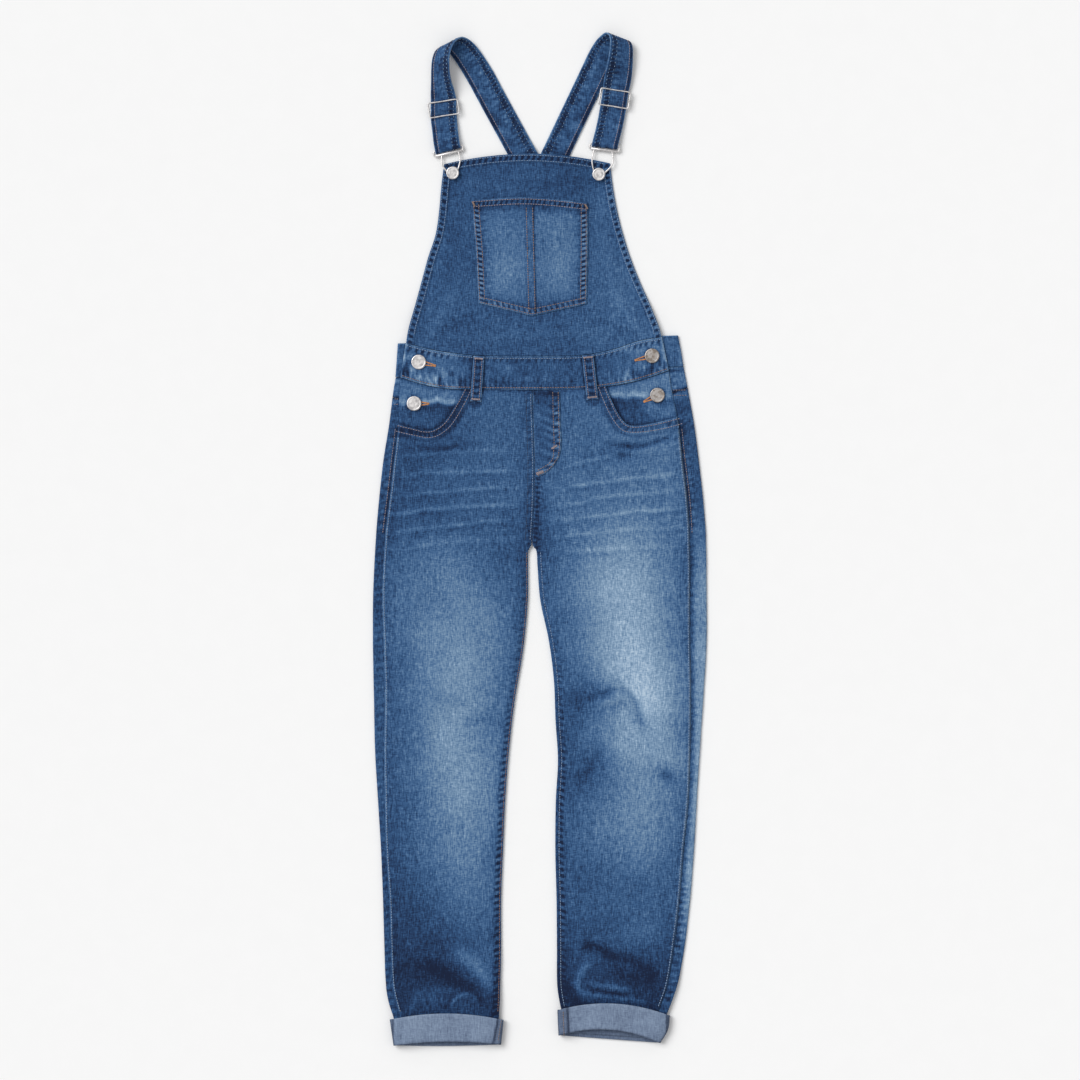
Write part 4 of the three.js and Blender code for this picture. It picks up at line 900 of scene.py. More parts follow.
def denim(name, grain_turn=0.0, shades=INDIGO, grain=1.0, cloud=0.08, bump=0.5):
    """Twill with uneven yarns. The attribute read here says how faded each place is, and also carries painted
    shade and painted light.
    """
    material, tree, shader = nodes_of(name)
    wash_and_shade = tree.nodes.new("ShaderNodeAttribute")
    wash_and_shade.attribute_name = "wash_and_shade"
    where = place_node(tree)
    warp = noise_node(tree, where, 1.0, (1050, 150, 300), grain_turn, 2.0)
    streak = noise_node(tree, where, 1.0, (620, 30, 100), grain_turn, 1.0)
    weft = noise_node(tree, where, 1.0, (230, 1050, 300), grain_turn, 2.0)
    blotch = noise_node(tree, where, 22.0, (1, 1, 1), grain_turn, 2.0)
    twill = twill_node(tree, where, grain_turn - 58, 0.85)
    shade = wash_and_shade.outputs["Fac"]
    parts = ((warp, 0.72), (streak, 0.12), (weft, 0.56), (twill, 0.06))
    for source, amount in [(node, grain * share) for node, share in parts] + [(blotch, cloud)]:
        centred = math_node(tree, "SUBTRACT", source, 0.5)
        shade = math_node(tree, "ADD", shade, math_node(tree, "MULTIPLY", centred, amount))
    colour = ramp_node(tree, shade, [(position, srgb(*tone)) for position, tone in shades])
    tree.links.new(colour, shader.inputs["Base Color"])
    ridges = math_node(tree, "MULTIPLY", twill, 0.5)
    relief = math_node(tree, "ADD", ridges, math_node(tree, "MULTIPLY", warp, 0.7))
    bump_node = tree.nodes.new("ShaderNodeBump")
    bump_node.inputs["Strength"].default_value = bump
    bump_node.inputs["Distance"].default_value = 0.0003
    tree.links.new(relief, bump_node.inputs["Height"])
    tree.links.new(bump_node.outputs["Normal"], shader.inputs["Normal"])
    shader.inputs["Roughness"].default_value = 0.9
    shader.inputs["Specular IOR Level"].default_value = 0.2
    shader.inputs["Sheen Weight"].default_value = 0.05
    shader.inputs["Sheen Roughness"].default_value = 0.5
    return material


def metal(name, colour, tarnish, roughness, tarnish_size=220.0):
    """Plated metal, with its plating uneven and dulled in places."""
    material, tree, shader = nodes_of(name)
    where = place_node(tree)
    spots = noise_node(tree, where, tarnish_size, (1, 1, 1), 0, 4.0)
    plating = ramp_node(tree, spots, [(0.42, srgb(*tarnish)), (0.56, srgb(*colour))])
    tree.links.new(plating, shader.inputs["Base Color"])
    dull = math_node(tree, "MULTIPLY", spots, roughness * 2)
    tree.links.new(dull, shader.inputs["Roughness"])
    shader.inputs["Metallic"].default_value = 1.0
    return material


def thread(name, colour):
    material, tree, shader = nodes_of(name)
    where = place_node(tree)
    ply = noise_node(tree, where, 900.0, (1, 1, 1), 0, 2.0)
    dark, light = srgb(*[c * 0.72 for c in colour]), srgb(*[min(255, c * 1.12) for c in colour])
    tree.links.new(ramp_node(tree, ply, [(0.3, dark), (0.7, light)]), shader.inputs["Base Color"])
    shader.inputs["Roughness"].default_value = 0.6
    shader.inputs["Sheen Weight"].default_value = 0.2
    return material


DENIM = denim("denim_body")
DENIM_ACROSS = denim("denim_waistband", 90)
DENIM_STRAP = {"left": denim("denim_strap_left", -29), "right": denim("denim_strap_right", 26)}
DENIM_REVERSE = denim("denim_wrong_side", 0, WRONG_SIDE, 0.7, 0.05)
NICKEL = metal("nickel", (224, 221, 220), (208, 205, 205), 0.46)
WORN_NICKEL = metal("worn_nickel", (182, 177, 174), (154, 143, 134), 0.46, 260.0)
THREAD_MATERIALS = {
    "blue": thread("thread_blue", (128, 154, 186)),
    "navy": thread("thread_navy", (44, 62, 94)),
    "pale": thread("thread_pale", (112, 142, 174)),
    "tan": thread("thread_tan", (146, 122, 108)),
    "copper": thread("thread_copper", (142, 104, 82)),
    "rose": thread("thread_rose", (152, 140, 146)),
    "orange": thread("thread_orange", (196, 136, 84)),
}


# Front of the trousers


def cuff_lift(side, y):
    start, end = CUFF[side]["lift"]
    return CUFF_LIFT * smooth(start, end, y)


def facing_lift(side, x, y):
    cx, cy = SCOOP[side]["corner"]
    return FACING_LIFT * (1 - smooth(1, 1.5, np.hypot((x - cx) / 82, (y - cy) / 66)))


def across_share(side, x, y):
    seam, inner = LEG[side].at("seam", y), LEG[side].at("inner", y)
    return np.clip((x - seam) / (inner - seam), 0, 1)


def front_under(side, x, y):
    u = across_share(side, x, y)
    width = np.abs(LEG[side].at("inner", y) - LEG[side].at("seam", y))
    to_inner = (1 - u) * width
    dip = (FRONT_LOW - CLOTH - GAP) * (1 - smooth(0, 9, to_inner)) * smooth(4, -26, y)
    crown = CROWN * arch(u) ** 1.6 * (1 - 0.6 * smooth(*CUFF[side]["lift"], y))
    folds = patches(FOLDS, x, y)
    trough = np.maximum(np.minimum(0, folds), -crown * 1.2)
    return FRONT_LOW + crown - dip + trough + facing_lift(side, x, y) + cuff_lift(side, y)


def scoop_line(side, count=60, away=0.0):
    corner = np.array(SCOOP[side]["corner"], float)
    points = curve(SCOOP[side]["edge"])(np.linspace(0, 1, count + 1))
    reach = np.linalg.norm(points - corner, axis=1)[:, None]
    return points + (points - corner) * away / reach


SCOOP_EDGE = {side: scoop_line(side, 50) for side in SCOOP}


STROKE_LINES = [(*row[:3], curve(row[3])(np.linspace(0, 1, 30))) for row in STROKES]


def strokes(x, y):
    """What the drawn creases and ridges add to the height of a place, and the painted shade and painted light
    they add to its colour.
    """
    relief, tint = np.zeros(np.shape(x)), np.zeros(np.shape(x))
    for width, height, wash_and_shade, line in STROKE_LINES:
        low, high = line.min(0) - 2.5 * width, line.max(0) + 2.5 * width
        near = (x > low[0]) & (x < high[0]) & (y > low[1]) & (y < high[1])
        if not near.any():
            continue
        gap, along = distance_to(line, x[near], y[near])
        share = along / np.linalg.norm(np.diff(line, axis=0), axis=1).sum()
        body = bell(gap, width) * smooth(-0.02, 0.22, share) * smooth(1.02, 0.78, share)
        relief[near] += height * body
        # painted shade in the creases and painted light on the ridges
        tint[near] += wash_and_shade * body
    return relief, tint


def front_relief(side, x, y):
    """Puckers along the seams, small creases and the cloth's slight unevenness, above the plain panel."""
    is_left = side == "left"
    seam_gap = np.abs(x - LEG[side].at("seam", y))
    inner_gap = np.abs(x - LEG[side].at("inner", y))
    edge = smooth(0, 5, np.minimum(seam_gap, inner_gap))
    relief = patches(CREASES, x, y)
    relief = relief + 0.35 * noise(x, y, 46, 3) + 0.16 * noise(x, y, 19, 4) + 0.07 * noise(x, y, 8, 5)
    relief = relief * (0.35 + 0.65 * edge)
    relief = relief + 0.22 * roping(seam_gap, y, 9, 9, 11 + is_left)
    inseam = 0.24 * roping(inner_gap, y, 8, 8, 21 + is_left)
    relief = relief + inseam * (0.6 + 0.4 * smooth(-60, -320, y))
    relief = relief - 0.8 * (1 - smooth(0, 2.2, seam_gap))
    scoop, along = distance_to(SCOOP_EDGE[side], x, y)
    relief = relief + 0.5 * (1 - smooth(9.2, 10.4, scoop)) + 0.16 * roping(scoop - 5, along, 5, 8, 31)
    relief = relief + np.maximum(0, patches(FOLDS, x, y)) + strokes(x, y)[0]
    return np.maximum(relief, 0.3 - CLOTH)


def front_top(side, x, y):
    return front_under(side, x, y) + CLOTH + front_relief(side, x, y)


def whisker_wash(x, y):
    total = np.zeros(np.broadcast(x, y).shape)
    for i, x0, y0, x1, y1, width, amount in WHISKERS.rows:
        length = math.hypot(x1 - x0, y1 - y0)
        turn = math.atan2(y1 - y0, x1 - x0)
        wave = 1.5 * noise(x, 0 * x, 22, 60 + int(i))
        along = ((x - x0) * math.cos(turn) + (y - y0) * math.sin(turn)) / length
        sag = 5 * (4 * along * (1 - along)) * 0.4
        across = (y - y0) * math.cos(turn) - (x - x0) * math.sin(turn) - sag + wave
        fade = bell(np.abs(along - 0.48), 0.46, power=6) * (0.8 + 0.35 * noise(x, 0 * x, 16, 80 + int(i)))
        body = bell(across, width) - 0.3 * bell(across, 3.2, -4.4)
        total += 1.4 * amount * fade * body
    return total


def front_wash_and_shade(side, x, y):
    seam_gap = np.abs(x - LEG[side].at("seam", y))
    inner_gap = np.abs(x - LEG[side].at("inner", y))
    fade, u = FADES[side], across_share(side, x, y)
    # the patches add fading, and painted shade along some fold troughs
    wash_and_shade = fade.at("base", y) + patches(FADE_AND_SHADE_PATCHES, x, y) + whisker_wash(x, y)
    wash_and_shade = wash_and_shade + fade.at("amount", y) * bell(u, fade.at("spread", y), fade.at("centre", y))
    wash_and_shade = wash_and_shade - 0.03 * (1 - smooth(0, 26, seam_gap)) - 0.06 * (1 - smooth(0, 18, inner_gap))
    is_left = side == "left"
    below = smooth(-60, -320, y)
    wash_and_shade = wash_and_shade - 0.07 * teeth(seam_gap, y, 4, 2.6, 8.2, 11 + is_left) + 0.26 * bell(seam_gap, 1.3)
    inseam = teeth(inner_gap, y, 4.6 if is_left else 6.4, 3.3, 7.6, 21 + is_left)
    wash_and_shade = wash_and_shade - inseam * (0.08 + 0.20 * below) + 0.10 * bell(inner_gap, 1.2)
    if not is_left:
        rise = smooth(82, 70, y) * smooth(-20, -10, y)
        bare = 0.10 * bell(inner_gap, 6.5, power=4)
        wash_and_shade = wash_and_shade - rise * (0.26 * teeth(inner_gap, y, 3.4, 2.8, 5.4, 29) + bare)
        wash_and_shade = wash_and_shade + 0.16 * rise * bell(inner_gap, 1.0, 7.4) * noise(x, y, 3, 30)
    wash_and_shade = wash_and_shade - 0.07 * below * (1 - smooth(6, 11, inner_gap))
    # painted shade and light of the drawn creases, and painted shade beside the belt loops and side buttons
    wash_and_shade = wash_and_shade + strokes(x, y)[1] - loop_shade(x, y)
    # painted shadow under the waistband's lower edge
    wash_and_shade = wash_and_shade - 0.16 * bell(waist_low.at("y", x) - y, 2.6)
    wash_and_shade = wash_and_shade + 0.05 * below * roping(inner_gap, y, 10, 7.6, 21 + is_left)
    wash_and_shade = wash_and_shade + 0.02 * noise(x, y, 30, 41) + 0.012 * noise(x, y, 9, 42)
    scoop, along = distance_to(SCOOP_EDGE[side], x, y)
    # a pale line at the scoop band's inner row, and a painted shadow just past the band
    double = 0.22 * bell(scoop, 0.9, 8.2) - 0.14 * bell(scoop, 2, 12)
    return wash_and_shade + hem_wash_and_shadow(scoop, along, 4.6, 31, 0.18, 4.8, 2.6, 10, -0.20) + double


def front_leg(side):
    leg = LEG[side]
    seam_end = CUFF[side]["front_end"][1]
    inner_end = CUFF[side]["front_end"][0]
    edge = SCOOP_EDGE[side]
    seam_top = edge[-1][1]
    scoop_x = edge[::-1, 0]
    start = edge[0]
    inner_top = float(waist_low.at("y", leg.at("inner", 172))) - GAP
    inner_x = float(leg.at("inner", inner_top))
    seam_x = float(leg.at("seam", seam_top))
    near_inner = inner_x + (12 if side == "right" else -12)
    waist_x = np.r_[np.linspace(start[0], near_inner, 26)[1:-1], np.linspace(near_inner, inner_x, 11)]
    top_x = np.r_[seam_x, scoop_x[1:], waist_x]
    top_y = np.r_[seam_top, edge[::-1, 1][1:], waist_low.at("y", waist_x) - GAP]
    us = (top_x - seam_x) / (inner_x - seam_x)

    def seam(v):
        y = mix(seam_end, seam_top, v)
        return pair(leg.at("seam", y), y)

    def inner(v):
        y = mix(inner_end, inner_top, v)
        return pair(leg.at("inner", y), y)

    def low(u):
        return pair(mix(leg.at("seam", seam_end), leg.at("inner", inner_end), u), mix(seam_end, inner_end, u))

    def high(u):
        return pair(np.interp(u, us, top_x), np.interp(u, us, top_y))

    xy = panel_xy(seam, inner, low, high, us, np.linspace(0, 1, 500))
    x, y = xy[..., 0], xy[..., 1]
    top, under = front_top(side, x, y), front_under(side, x, y)
    cloth("leg_front_" + side, with_height(xy, top), with_height(xy, under), front_wash_and_shade(side, x, y), DENIM,
          ["front_leg_" + side])


# Back


def half_section(x_inner, x_outer, x_lip, fold, offset, flat_count=26, lip_count=8):
    out = 1 if x_outer > x_inner else -1
    centre = x_outer - out * fold / 2
    radius = fold / 2 - offset
    turn = np.pi * np.linspace(0, 1, 9)
    arc = np.stack([centre + out * radius * np.sin(turn), fold / 2 - radius * np.cos(turn)], -1)
    flat_x = np.linspace(x_inner, centre, flat_count, endpoint=False)
    lip_x = np.linspace(centre, x_lip, lip_count + 1)[1:]
    flat = np.stack([flat_x, np.full(flat_count, offset)], -1)
    lip = np.stack([lip_x, np.full(lip_count, fold - offset)], -1)
    return np.vstack([flat, arc, lip])


def lip_x(side, y):
    out = -1 if side == "left" else 1
    return mix(LEG[side].at("seam", y) - out * 5, UNDERLAP[side], smooth(96, 128, y))


def folded_wall(name, side, y_inner, y_outer, replaced):
    leg = LEG[side]

    def grid(offset):
        rows = []
        for yi, yo in zip(y_inner, y_outer):
            xi, xo = float(leg.at("inner", yi)), float(leg.at("outer", yo))
            section = half_section(xi, xo, float(lip_x(side, yo)), LEG_FOLD, offset)
            y = mix(yi, yo, (section[:, 0] - xi) / (xo - xi))
            rows.append(np.stack([section[:, 0], y, section[:, 1] + cuff_lift(side, y)], -1))
        return np.array(rows)

    outside, inside = grid(0), grid(CLOTH)
    x, y, z = outside[..., 0], outside[..., 1], outside[..., 2]
    gap = np.abs(x - leg.at("seam", y))
    shows = smooth(0.6, 2.4, z)
    seed = 51 + (side == "left")
    rope = roping(gap, y, 9, 10.5, seed)
    outside[..., 2] += 0.2 * rope * shows
    outside[..., 0] += 0.3 * noise(y, 0 * y, 24, 52) * shows * (1 - smooth(0.5, 1.5, LEG_FOLD - z))
    marks = teeth(gap, y, 5.5, 4.6, 8.4, seed)
    strength = 0.12 if side == "left" else 0.10 + 0.16 * smooth(-360, -430, y) + 0.08 * smooth(-10, 40, y)
    wash_and_shade = 0.27 - strength * marks * shows + 0.06 * rope
    wash_and_shade = wash_and_shade + 0.05 * noise(x, y, 25, 53) + 0.04 * noise(x, y, 8, 54)
    hips = smooth(0, 30, y) * smooth(136, 128, y) * shows
    wash_and_shade = wash_and_shade - 0.16 * hips * (gap < 4.6) + 0.12 * hips * bell(gap, 1.2, 5.6)
    outward = np.clip(np.abs(x) / np.abs(leg.at("outer", y)), 0, 1)
    yoke_gap = y - mix(YOKE_LOW["middle"], YOKE_LOW[side], outward)
    wash_and_shade = wash_and_shade - 0.26 * bell(yoke_gap, 1.6) + 0.14 * smooth(2, 5, yoke_gap) * shows
    wash_and_shade = wash_and_shade + 0.08 * smooth(-1, -3, yoke_gap) * smooth(-12, -9, yoke_gap)
    # painted shadow under the front waistband's lower edge
    wash_and_shade = wash_and_shade - 0.16 * bell(y - waist_low.at("y", np.clip(x, -160, 147)), 2.2) * shows
    strip_fade = 0.36 if side == "right" else -0.03
    wash_and_shade = wash_and_shade + strip_fade * smooth(1, 8, gap) * smooth(60, -60, y) * smooth(-520, -400, y)
    wash_and_shade = wash_and_shade - 0.06 * bell(gap, 1.6) * shows + 0.08 * smooth(-40, -190, y) * smooth(-420, -260, y)
    wash_and_shade = wash_and_shade + patches(SEAT_FADES, x, y) * (1 - shows)
    cloth(name, outside, inside, wash_and_shade, DENIM, replaced, lining=DENIM_REVERSE)


def back_leg(side):
    inner_end, outer_end = CUFF[side]["leg_end"]
    folded_wall("leg_back_" + side, side, np.linspace(YOKE_LOW["middle"] - GAP, inner_end, 240),
                np.linspace(YOKE_LOW[side] - GAP, outer_end, 240), ["back_leg_" + side])


def back_yoke(side):
    x_left, y_left, x_right, y_right = BACK_BAND_ROWS[2]
    inner_x = float(LEG[side].at("inner", YOKE_LOW["middle"]))
    middle = mix(y_left, y_right, (inner_x - x_left) / (x_right - x_left)) - 2 * GAP
    high = (y_left if side == "left" else y_right) - GAP
    folded_wall("yoke_back_" + side, side, np.linspace(middle, YOKE_LOW["middle"], 24),
                np.linspace(high, YOKE_LOW[side], 24), ["back_yoke_" + side])


def back_waistband():
    rows = np.array(BACK_BAND_ROWS)
    spread = np.array([np.interp(np.linspace(0, 2, 21), [0, 1, 2], rows[:, k]) for k in range(4)]).T

    def grid(offset):
        made = []
        for x_left, y_left, x_right, y_right in spread:
            left = half_section(-8, x_left, UNDERLAP["left"], BAND_FOLD, offset, 40, 16)
            right = half_section(-8, x_right, UNDERLAP["right"], BAND_FOLD, offset, 40, 16)
            section = np.vstack([left[::-1], right[1:]])
            y = mix(y_left, y_right, (section[:, 0] - x_left) / (x_right - x_left))
            made.append(np.stack([section[:, 0], y, section[:, 1]], -1))
        return np.array(made)

    outside, inside = grid(0), grid(BACK_BAND)
    x, y = outside[..., 0], outside[..., 1]
    wash_and_shade = 0.32 + 0.10 * noise(x, y, 16, 61) + 0.07 * noise(x, y, 6, 62)
    high_y = mix(rows[0][1], rows[0][3], (x - rows[0][0]) / (rows[0][2] - rows[0][0]))
    outer = np.minimum(x - mix(rows[0][0], rows[2][0], 0.5), mix(rows[0][2], rows[2][2], 0.5) - x)
    wash_and_shade = wash_and_shade + hem_wash_and_shadow(np.abs(high_y - y), x, 7, 63, 0.16) + 0.12 * bell(np.abs(outer), 2.4)
    cloth("waistband_back", outside, inside, wash_and_shade, DENIM_ACROSS, ["back_waistband"])


# Front waistband


def waist_height(x, y):
    low, high = waist_low.at("y", x), waist_high.at("y", x)
    v = np.clip((y - low) / (high - low), 0, 1)
    edge = np.minimum(v, 1 - v) * BAND_WIDTH
    puff = 0.2 * np.sin(np.pi * v) + 0.3 * smooth(0, 2.2, edge) - 0.3
    rope = 0.22 * roping(np.minimum(np.abs(edge - 4), 9), x, 5, 9, 71)
    rope = rope + 0.25 * roping(v * BAND_WIDTH - 8, x, 8, 6.6, 77)
    return BAND_LOW + FRONT_BAND + puff + rope + 0.14 * noise(x, y, 24, 72) + 0.05 * noise(x, y, 6, 73)


def waist_end(row, v):
    """The place at a share of the waistband's width on one of its ends, from its lower edge up."""
    _, x_high, y_high, x_low, y_low = WAIST.rows[row]
    return pair(mix(x_low, x_high, v), mix(y_low, y_high, v))


def front_waistband():
    def left(v):
        return waist_end(0, v)

    def right(v):
        return waist_end(-1, v)

    def low(u):
        return pair(WAIST.at("xLow", u), WAIST.at("yLow", u))

    def high(u):
        return pair(WAIST.at("xHigh", u), WAIST.at("yHigh", u))

    xy = panel_xy(left, right, low, high, np.linspace(0, 1, 250), np.linspace(0, 1, 36))
    x, y = xy[..., 0], xy[..., 1]
    v = np.broadcast_to(np.linspace(0, 1, 36)[:, None], x.shape)
    low_edge, high_edge = v * BAND_WIDTH, (1 - v) * BAND_WIDTH
    ends = smooth(-70, -120, x) + 0.7 * smooth(60, 110, x)
    wash_and_shade = 0.28 + 0.06 * noise(x, y, 20, 74) + 0.07 * noise(x, y, 6, 75)
    wash_and_shade = wash_and_shade + 0.10 * ends + 0.10 * smooth(60, 110, x)
    wash_and_shade = wash_and_shade + hem_wash_and_shadow(high_edge, x, 6.8, 71, 0.14 + 0.10 * ends, 4.6, 2.4, 8.4, -0.03)
    wash_and_shade = wash_and_shade + hem_wash_and_shadow(low_edge, x, 6.6, 76, 0.11 + 0.08 * ends, 4.2, 2.4, 7.6, -0.03)
    wash_and_shade = wash_and_shade + (0.08 + 0.06 * ends) * roping(low_edge - 8, x, 9, 6.0, 77) - loop_shade(x, y)
    wash_and_shade = wash_and_shade + (0.10 + 0.26 * ends) * noise(x, y * 0.35, 4.6, 70) * bell(low_edge, 8, 9)
    wash_and_shade = wash_and_shade + 0.10 * bell(high_edge, 1.0, 9.4)
    end_gap = np.minimum(x - left(v)[..., 0], right(v)[..., 0] - x)
    wash_and_shade = wash_and_shade + 0.30 * bell(end_gap, 1.1) - 0.16 * bell(end_gap, 1.6, 4)
    # painted shade and painted light of creases at the band's ends
    creased = noise(x * 0.5, y, 7, 78) * noise(x, y, 24, 79)
    wash_and_shade = wash_and_shade + 0.34 * ends * creased + 0.07 * smooth(-70, -120, x)
    cloth("waistband_front", with_height(xy, waist_height(x, y)), with_height(xy, BAND_LOW),
          wash_and_shade, DENIM_ACROSS, ["front_waistband"])


# Bib


def bib_under(x, y):
    left, right = bib_left.at("x", y), bib_right.at("x", y)
    to_edge = np.maximum(0, np.minimum(x - left, right - x))
    cross = 1 - smooth(0.9, 2.1, np.hypot((x - 1) / 31, (y - 406) / 47))
    waist = smooth(282, 240, y)
    reach = mix(32, 56, smooth(300, 400, y))
    droop = 1.9 * (1 - smooth(0, 1, to_edge / reach)) * smooth(262, 300, y)
    return BIB_REST + BIB_CROSS * cross + (BAND_LOW + 0.2 - BIB_REST) * waist - droop


def bib_arch(x):
    return 443.6 - 11.2 * ((x + 15) / 95) ** 2


def bib_edges(x, y):
    side = np.minimum(x - bib_left.at("x", y), bib_right.at("x", y) - x)
    top = bib_arch(x) - y
    return side, top


def bib_relief(x, y):
    side, top = bib_edges(x, y)
    hem = np.maximum(1 - smooth(8.4, 9.6, side), 1 - smooth(8.4, 9.6, top))
    rope = roping(np.abs(side - 5), y, 6, 8.5, 81) + roping(np.abs(top - 5), x, 6, 8.5, 82)
    edge = 0.5 * (1 - smooth(0, 1.6, np.minimum(side, top)))
    relief = HEM_RISE * hem + 0.2 * rope - edge + 0.3 * noise(x, y, 38, 83) + 0.12 * noise(x, y, 15, 84)
    return relief + 0.06 * noise(x, y, 7, 85) + patches(BIB_FOLDS, x, y)


def bib_height(x, y):
    return bib_under(x, y) + CLOTH + bib_relief(x, y)


def bib():
    foot_left, foot_right = BIB.rows[0, [1, 3]]
    x_left, y_left, x_right, y_right = BIB.rows[-1, 1:]

    def left(v):
        return pair(BIB.at("xLeft", v), BIB.at("yLeft", v))

    def right(v):
        return pair(BIB.at("xRight", v), BIB.at("yRight", v))

    def low(u):
        x = mix(foot_left, foot_right, u)
        return pair(x, waist_high.at("y", x) + GAP)

    def high(u):
        x = mix(x_left, x_right, u)
        return pair(x, mix(y_left, y_right, u) + bib_arch(x) - mix(bib_arch(x_left), bib_arch(x_right), u))

    hem_share = 0.062
    us = np.r_[np.linspace(0, hem_share, 16), np.linspace(hem_share, 1 - hem_share, 100)[1:-1],
               np.linspace(1 - hem_share, 1, 16)]
    vs = np.r_[np.linspace(0, 0.94, 150), np.linspace(0.94, 1, 16)[1:]]
    xy = panel_xy(left, right, low, high, us, vs)
    x, y = xy[..., 0], xy[..., 1]
    under = bib_under(x, y)
    side, top = bib_edges(x, y)
    wash_and_shade = 0.31 + 0.025 * noise(x, y, 26, 86) + 0.015 * noise(x, y, 8, 87) + 0.07 * smooth(30, 80, x)
    wash_and_shade = wash_and_shade - 0.05 * smooth(360, 420, y)
    # the folds' heights darken their troughs and lighten their ridges: painted shade and light
    wash_and_shade = wash_and_shade + patches(BIB_FOLDS, x, y) * 0.14 + hem_wash_and_shadow(side, y, 6.8, 81, 0.36, 4.6, 2.5, 8.6, -0.05)
    wash_and_shade = wash_and_shade + hem_wash_and_shadow(top, x, 7.0, 82, 0.32, 4.6, 2.6, 8.6, -0.10) * smooth(6, 9, side)
    wash_and_shade = wash_and_shade + 0.16 * bell(top, 0.9, 7.8) + 0.14 * bell(side, 0.8, 7.8)
    cloth("bib_panel", with_height(xy, np.maximum(under + CLOTH + bib_relief(x, y), under + 0.5)),
          with_height(xy, under), wash_and_shade, DENIM, ["bib"])


POCKET_TOP = np.array([POCKET["left"][0], POCKET["high"], POCKET["right"][0]])
POCKET_LOW = np.array([POCKET["left"][-1], POCKET["low"], POCKET["right"][-1]])


def pocket_line(name, y):
    """Where a side or the middle seam of the pocket is at a height."""
    xs, ys = np.array(POCKET[name][::-1]).T
    return np.interp(y, ys, xs)


def pocket_places(x, y):
    """Distances of a place on the pocket from its sides, top, low edges and middle seam."""
    from_left, width = x - POCKET_TOP[0, 0], POCKET_TOP[-1, 0] - POCKET_TOP[0, 0]
    top = curve(POCKET_TOP)(np.clip(from_left / width, 0, 1))[..., 1]
    low = np.interp(x, *POCKET_LOW.T)
    middle = np.abs(x - pocket_line("seam", y))
    return x - pocket_line("left", y), pocket_line("right", y) - x, top - y, y - low, middle


def pocket_relief(x, y):
    left, right, top, low, middle = pocket_places(x, y)
    side = np.minimum(np.minimum(left, right), low)
    hem = 1 - smooth(8.6, 9.8, top)
    seam = (1 - smooth(3.9, 4.9, middle)) * smooth(8.5, 9.5, top)
    rope = 0.22 * roping(np.minimum(left, right), y, 8, 9, 91) + 0.2 * roping(low, x, 8, 8.5, 92)
    rope = rope + 0.16 * roping(np.abs(top - 5), x, 6, 8, 93)
    rope = rope + 0.06 * roping(np.abs(middle - 3.4), y, 6, 7.5, 94)
    edge = 0.45 * (1 - smooth(0, 1.4, np.minimum(side, top)))
    belly = 0.9 * smooth(0, 34, side) * smooth(-4, 26, top)
    relief = HEM_RISE * hem + 0.6 * seam + rope - edge + belly
    return relief + 0.2 * noise(x, y, 22, 95) + 0.08 * noise(x, y, 9, 96)


def pocket_height(x, y):
    return bib_under(x, y) + 2 * CLOTH + 1.5 * GAP + 0.35 + pocket_relief(x, y)


def bib_pocket():
    left, right = curve(POCKET["left"][::-1]), curve(POCKET["right"][::-1])

    def low(u):
        return pair(*(np.interp(u, [0, 0.5, 1], values) for values in POCKET_LOW.T))

    xy = panel_xy(left, right, low, curve(POCKET_TOP), np.linspace(0, 1, 130), np.linspace(0, 1, 126))
    x, y = xy[..., 0], xy[..., 1]
    side_left, side_right, top, bottom, middle = pocket_places(x, y)
    side = np.minimum(np.minimum(side_left, side_right), bottom)
    wash_and_shade = 0.40 + 0.04 * noise(x, y, 24, 97) + 0.02 * noise(x, y, 8, 98)
    wash_and_shade = wash_and_shade + 0.12 * np.exp(-(((x + 42) / 30) ** 2) - ((y - 318) / 46) ** 2)
    wash_and_shade = wash_and_shade + 0.12 * np.exp(-(((x - 26) / 26) ** 2) - ((y - 326) / 50) ** 2)
    # darker near the sides, and a painted shadow just below the top hem
    wash_and_shade = wash_and_shade - 0.10 * (1 - smooth(6, 24, side)) - 0.10 * bell(top, 3, 12) - 0.06 * (top < 9.5)
    sides = np.minimum(side_left, side_right)
    wash_and_shade = wash_and_shade + hem_wash_and_shadow(sides, y, 5.6, 91, 0.48, 4.2, 2.8, 8) * smooth(7, 10, top)
    wash_and_shade = wash_and_shade + hem_wash_and_shadow(bottom, x, 6.4, 92, 0.26, 4.4, 2.6, 8) * smooth(3, 8, sides)
    wash_and_shade = wash_and_shade + hem_wash_and_shadow(top, x, 5.6, 93, 0.28, 4.6, 2.4, 9.2, -0.10)
    wash_and_shade = wash_and_shade + 0.14 * bell(top, 0.9, 8.0) * smooth(0, 40, x)
    wash_and_shade = wash_and_shade + 0.08 * roping(np.maximum(0, sides - 8), y, 9, 5.6, 91) * smooth(7, 12, top)
    seam = smooth(8, 10, top) * smooth(2, 6, bottom)
    right_row = x - pocket_line("seam", y)
    # painted shadow beside the middle seam's right row, and a fainter dark line by its left row
    wash_and_shade = wash_and_shade - seam * (0.24 * bell(right_row, 1.0, 5.0) + 0.10 * bell(right_row, 1.2, -5.2))
    wash_and_shade = wash_and_shade - seam * (0.05 + 0.05 * roping(middle, y, 4, 7.2, 99)) * (middle < 4.2)
    under = bib_under(x, y) + CLOTH + 1.5 * GAP + 0.3
    cloth("pocket_on_bib", with_height(xy, pocket_height(x, y)), with_height(xy, under), wash_and_shade, DENIM,
          ["bib_pocket"])


# Pocket facings, fly and belt loops


def facing_height(x, y):
    return FRONT_LOW + FACING + 0.10 * noise(x, y, 18, 101)


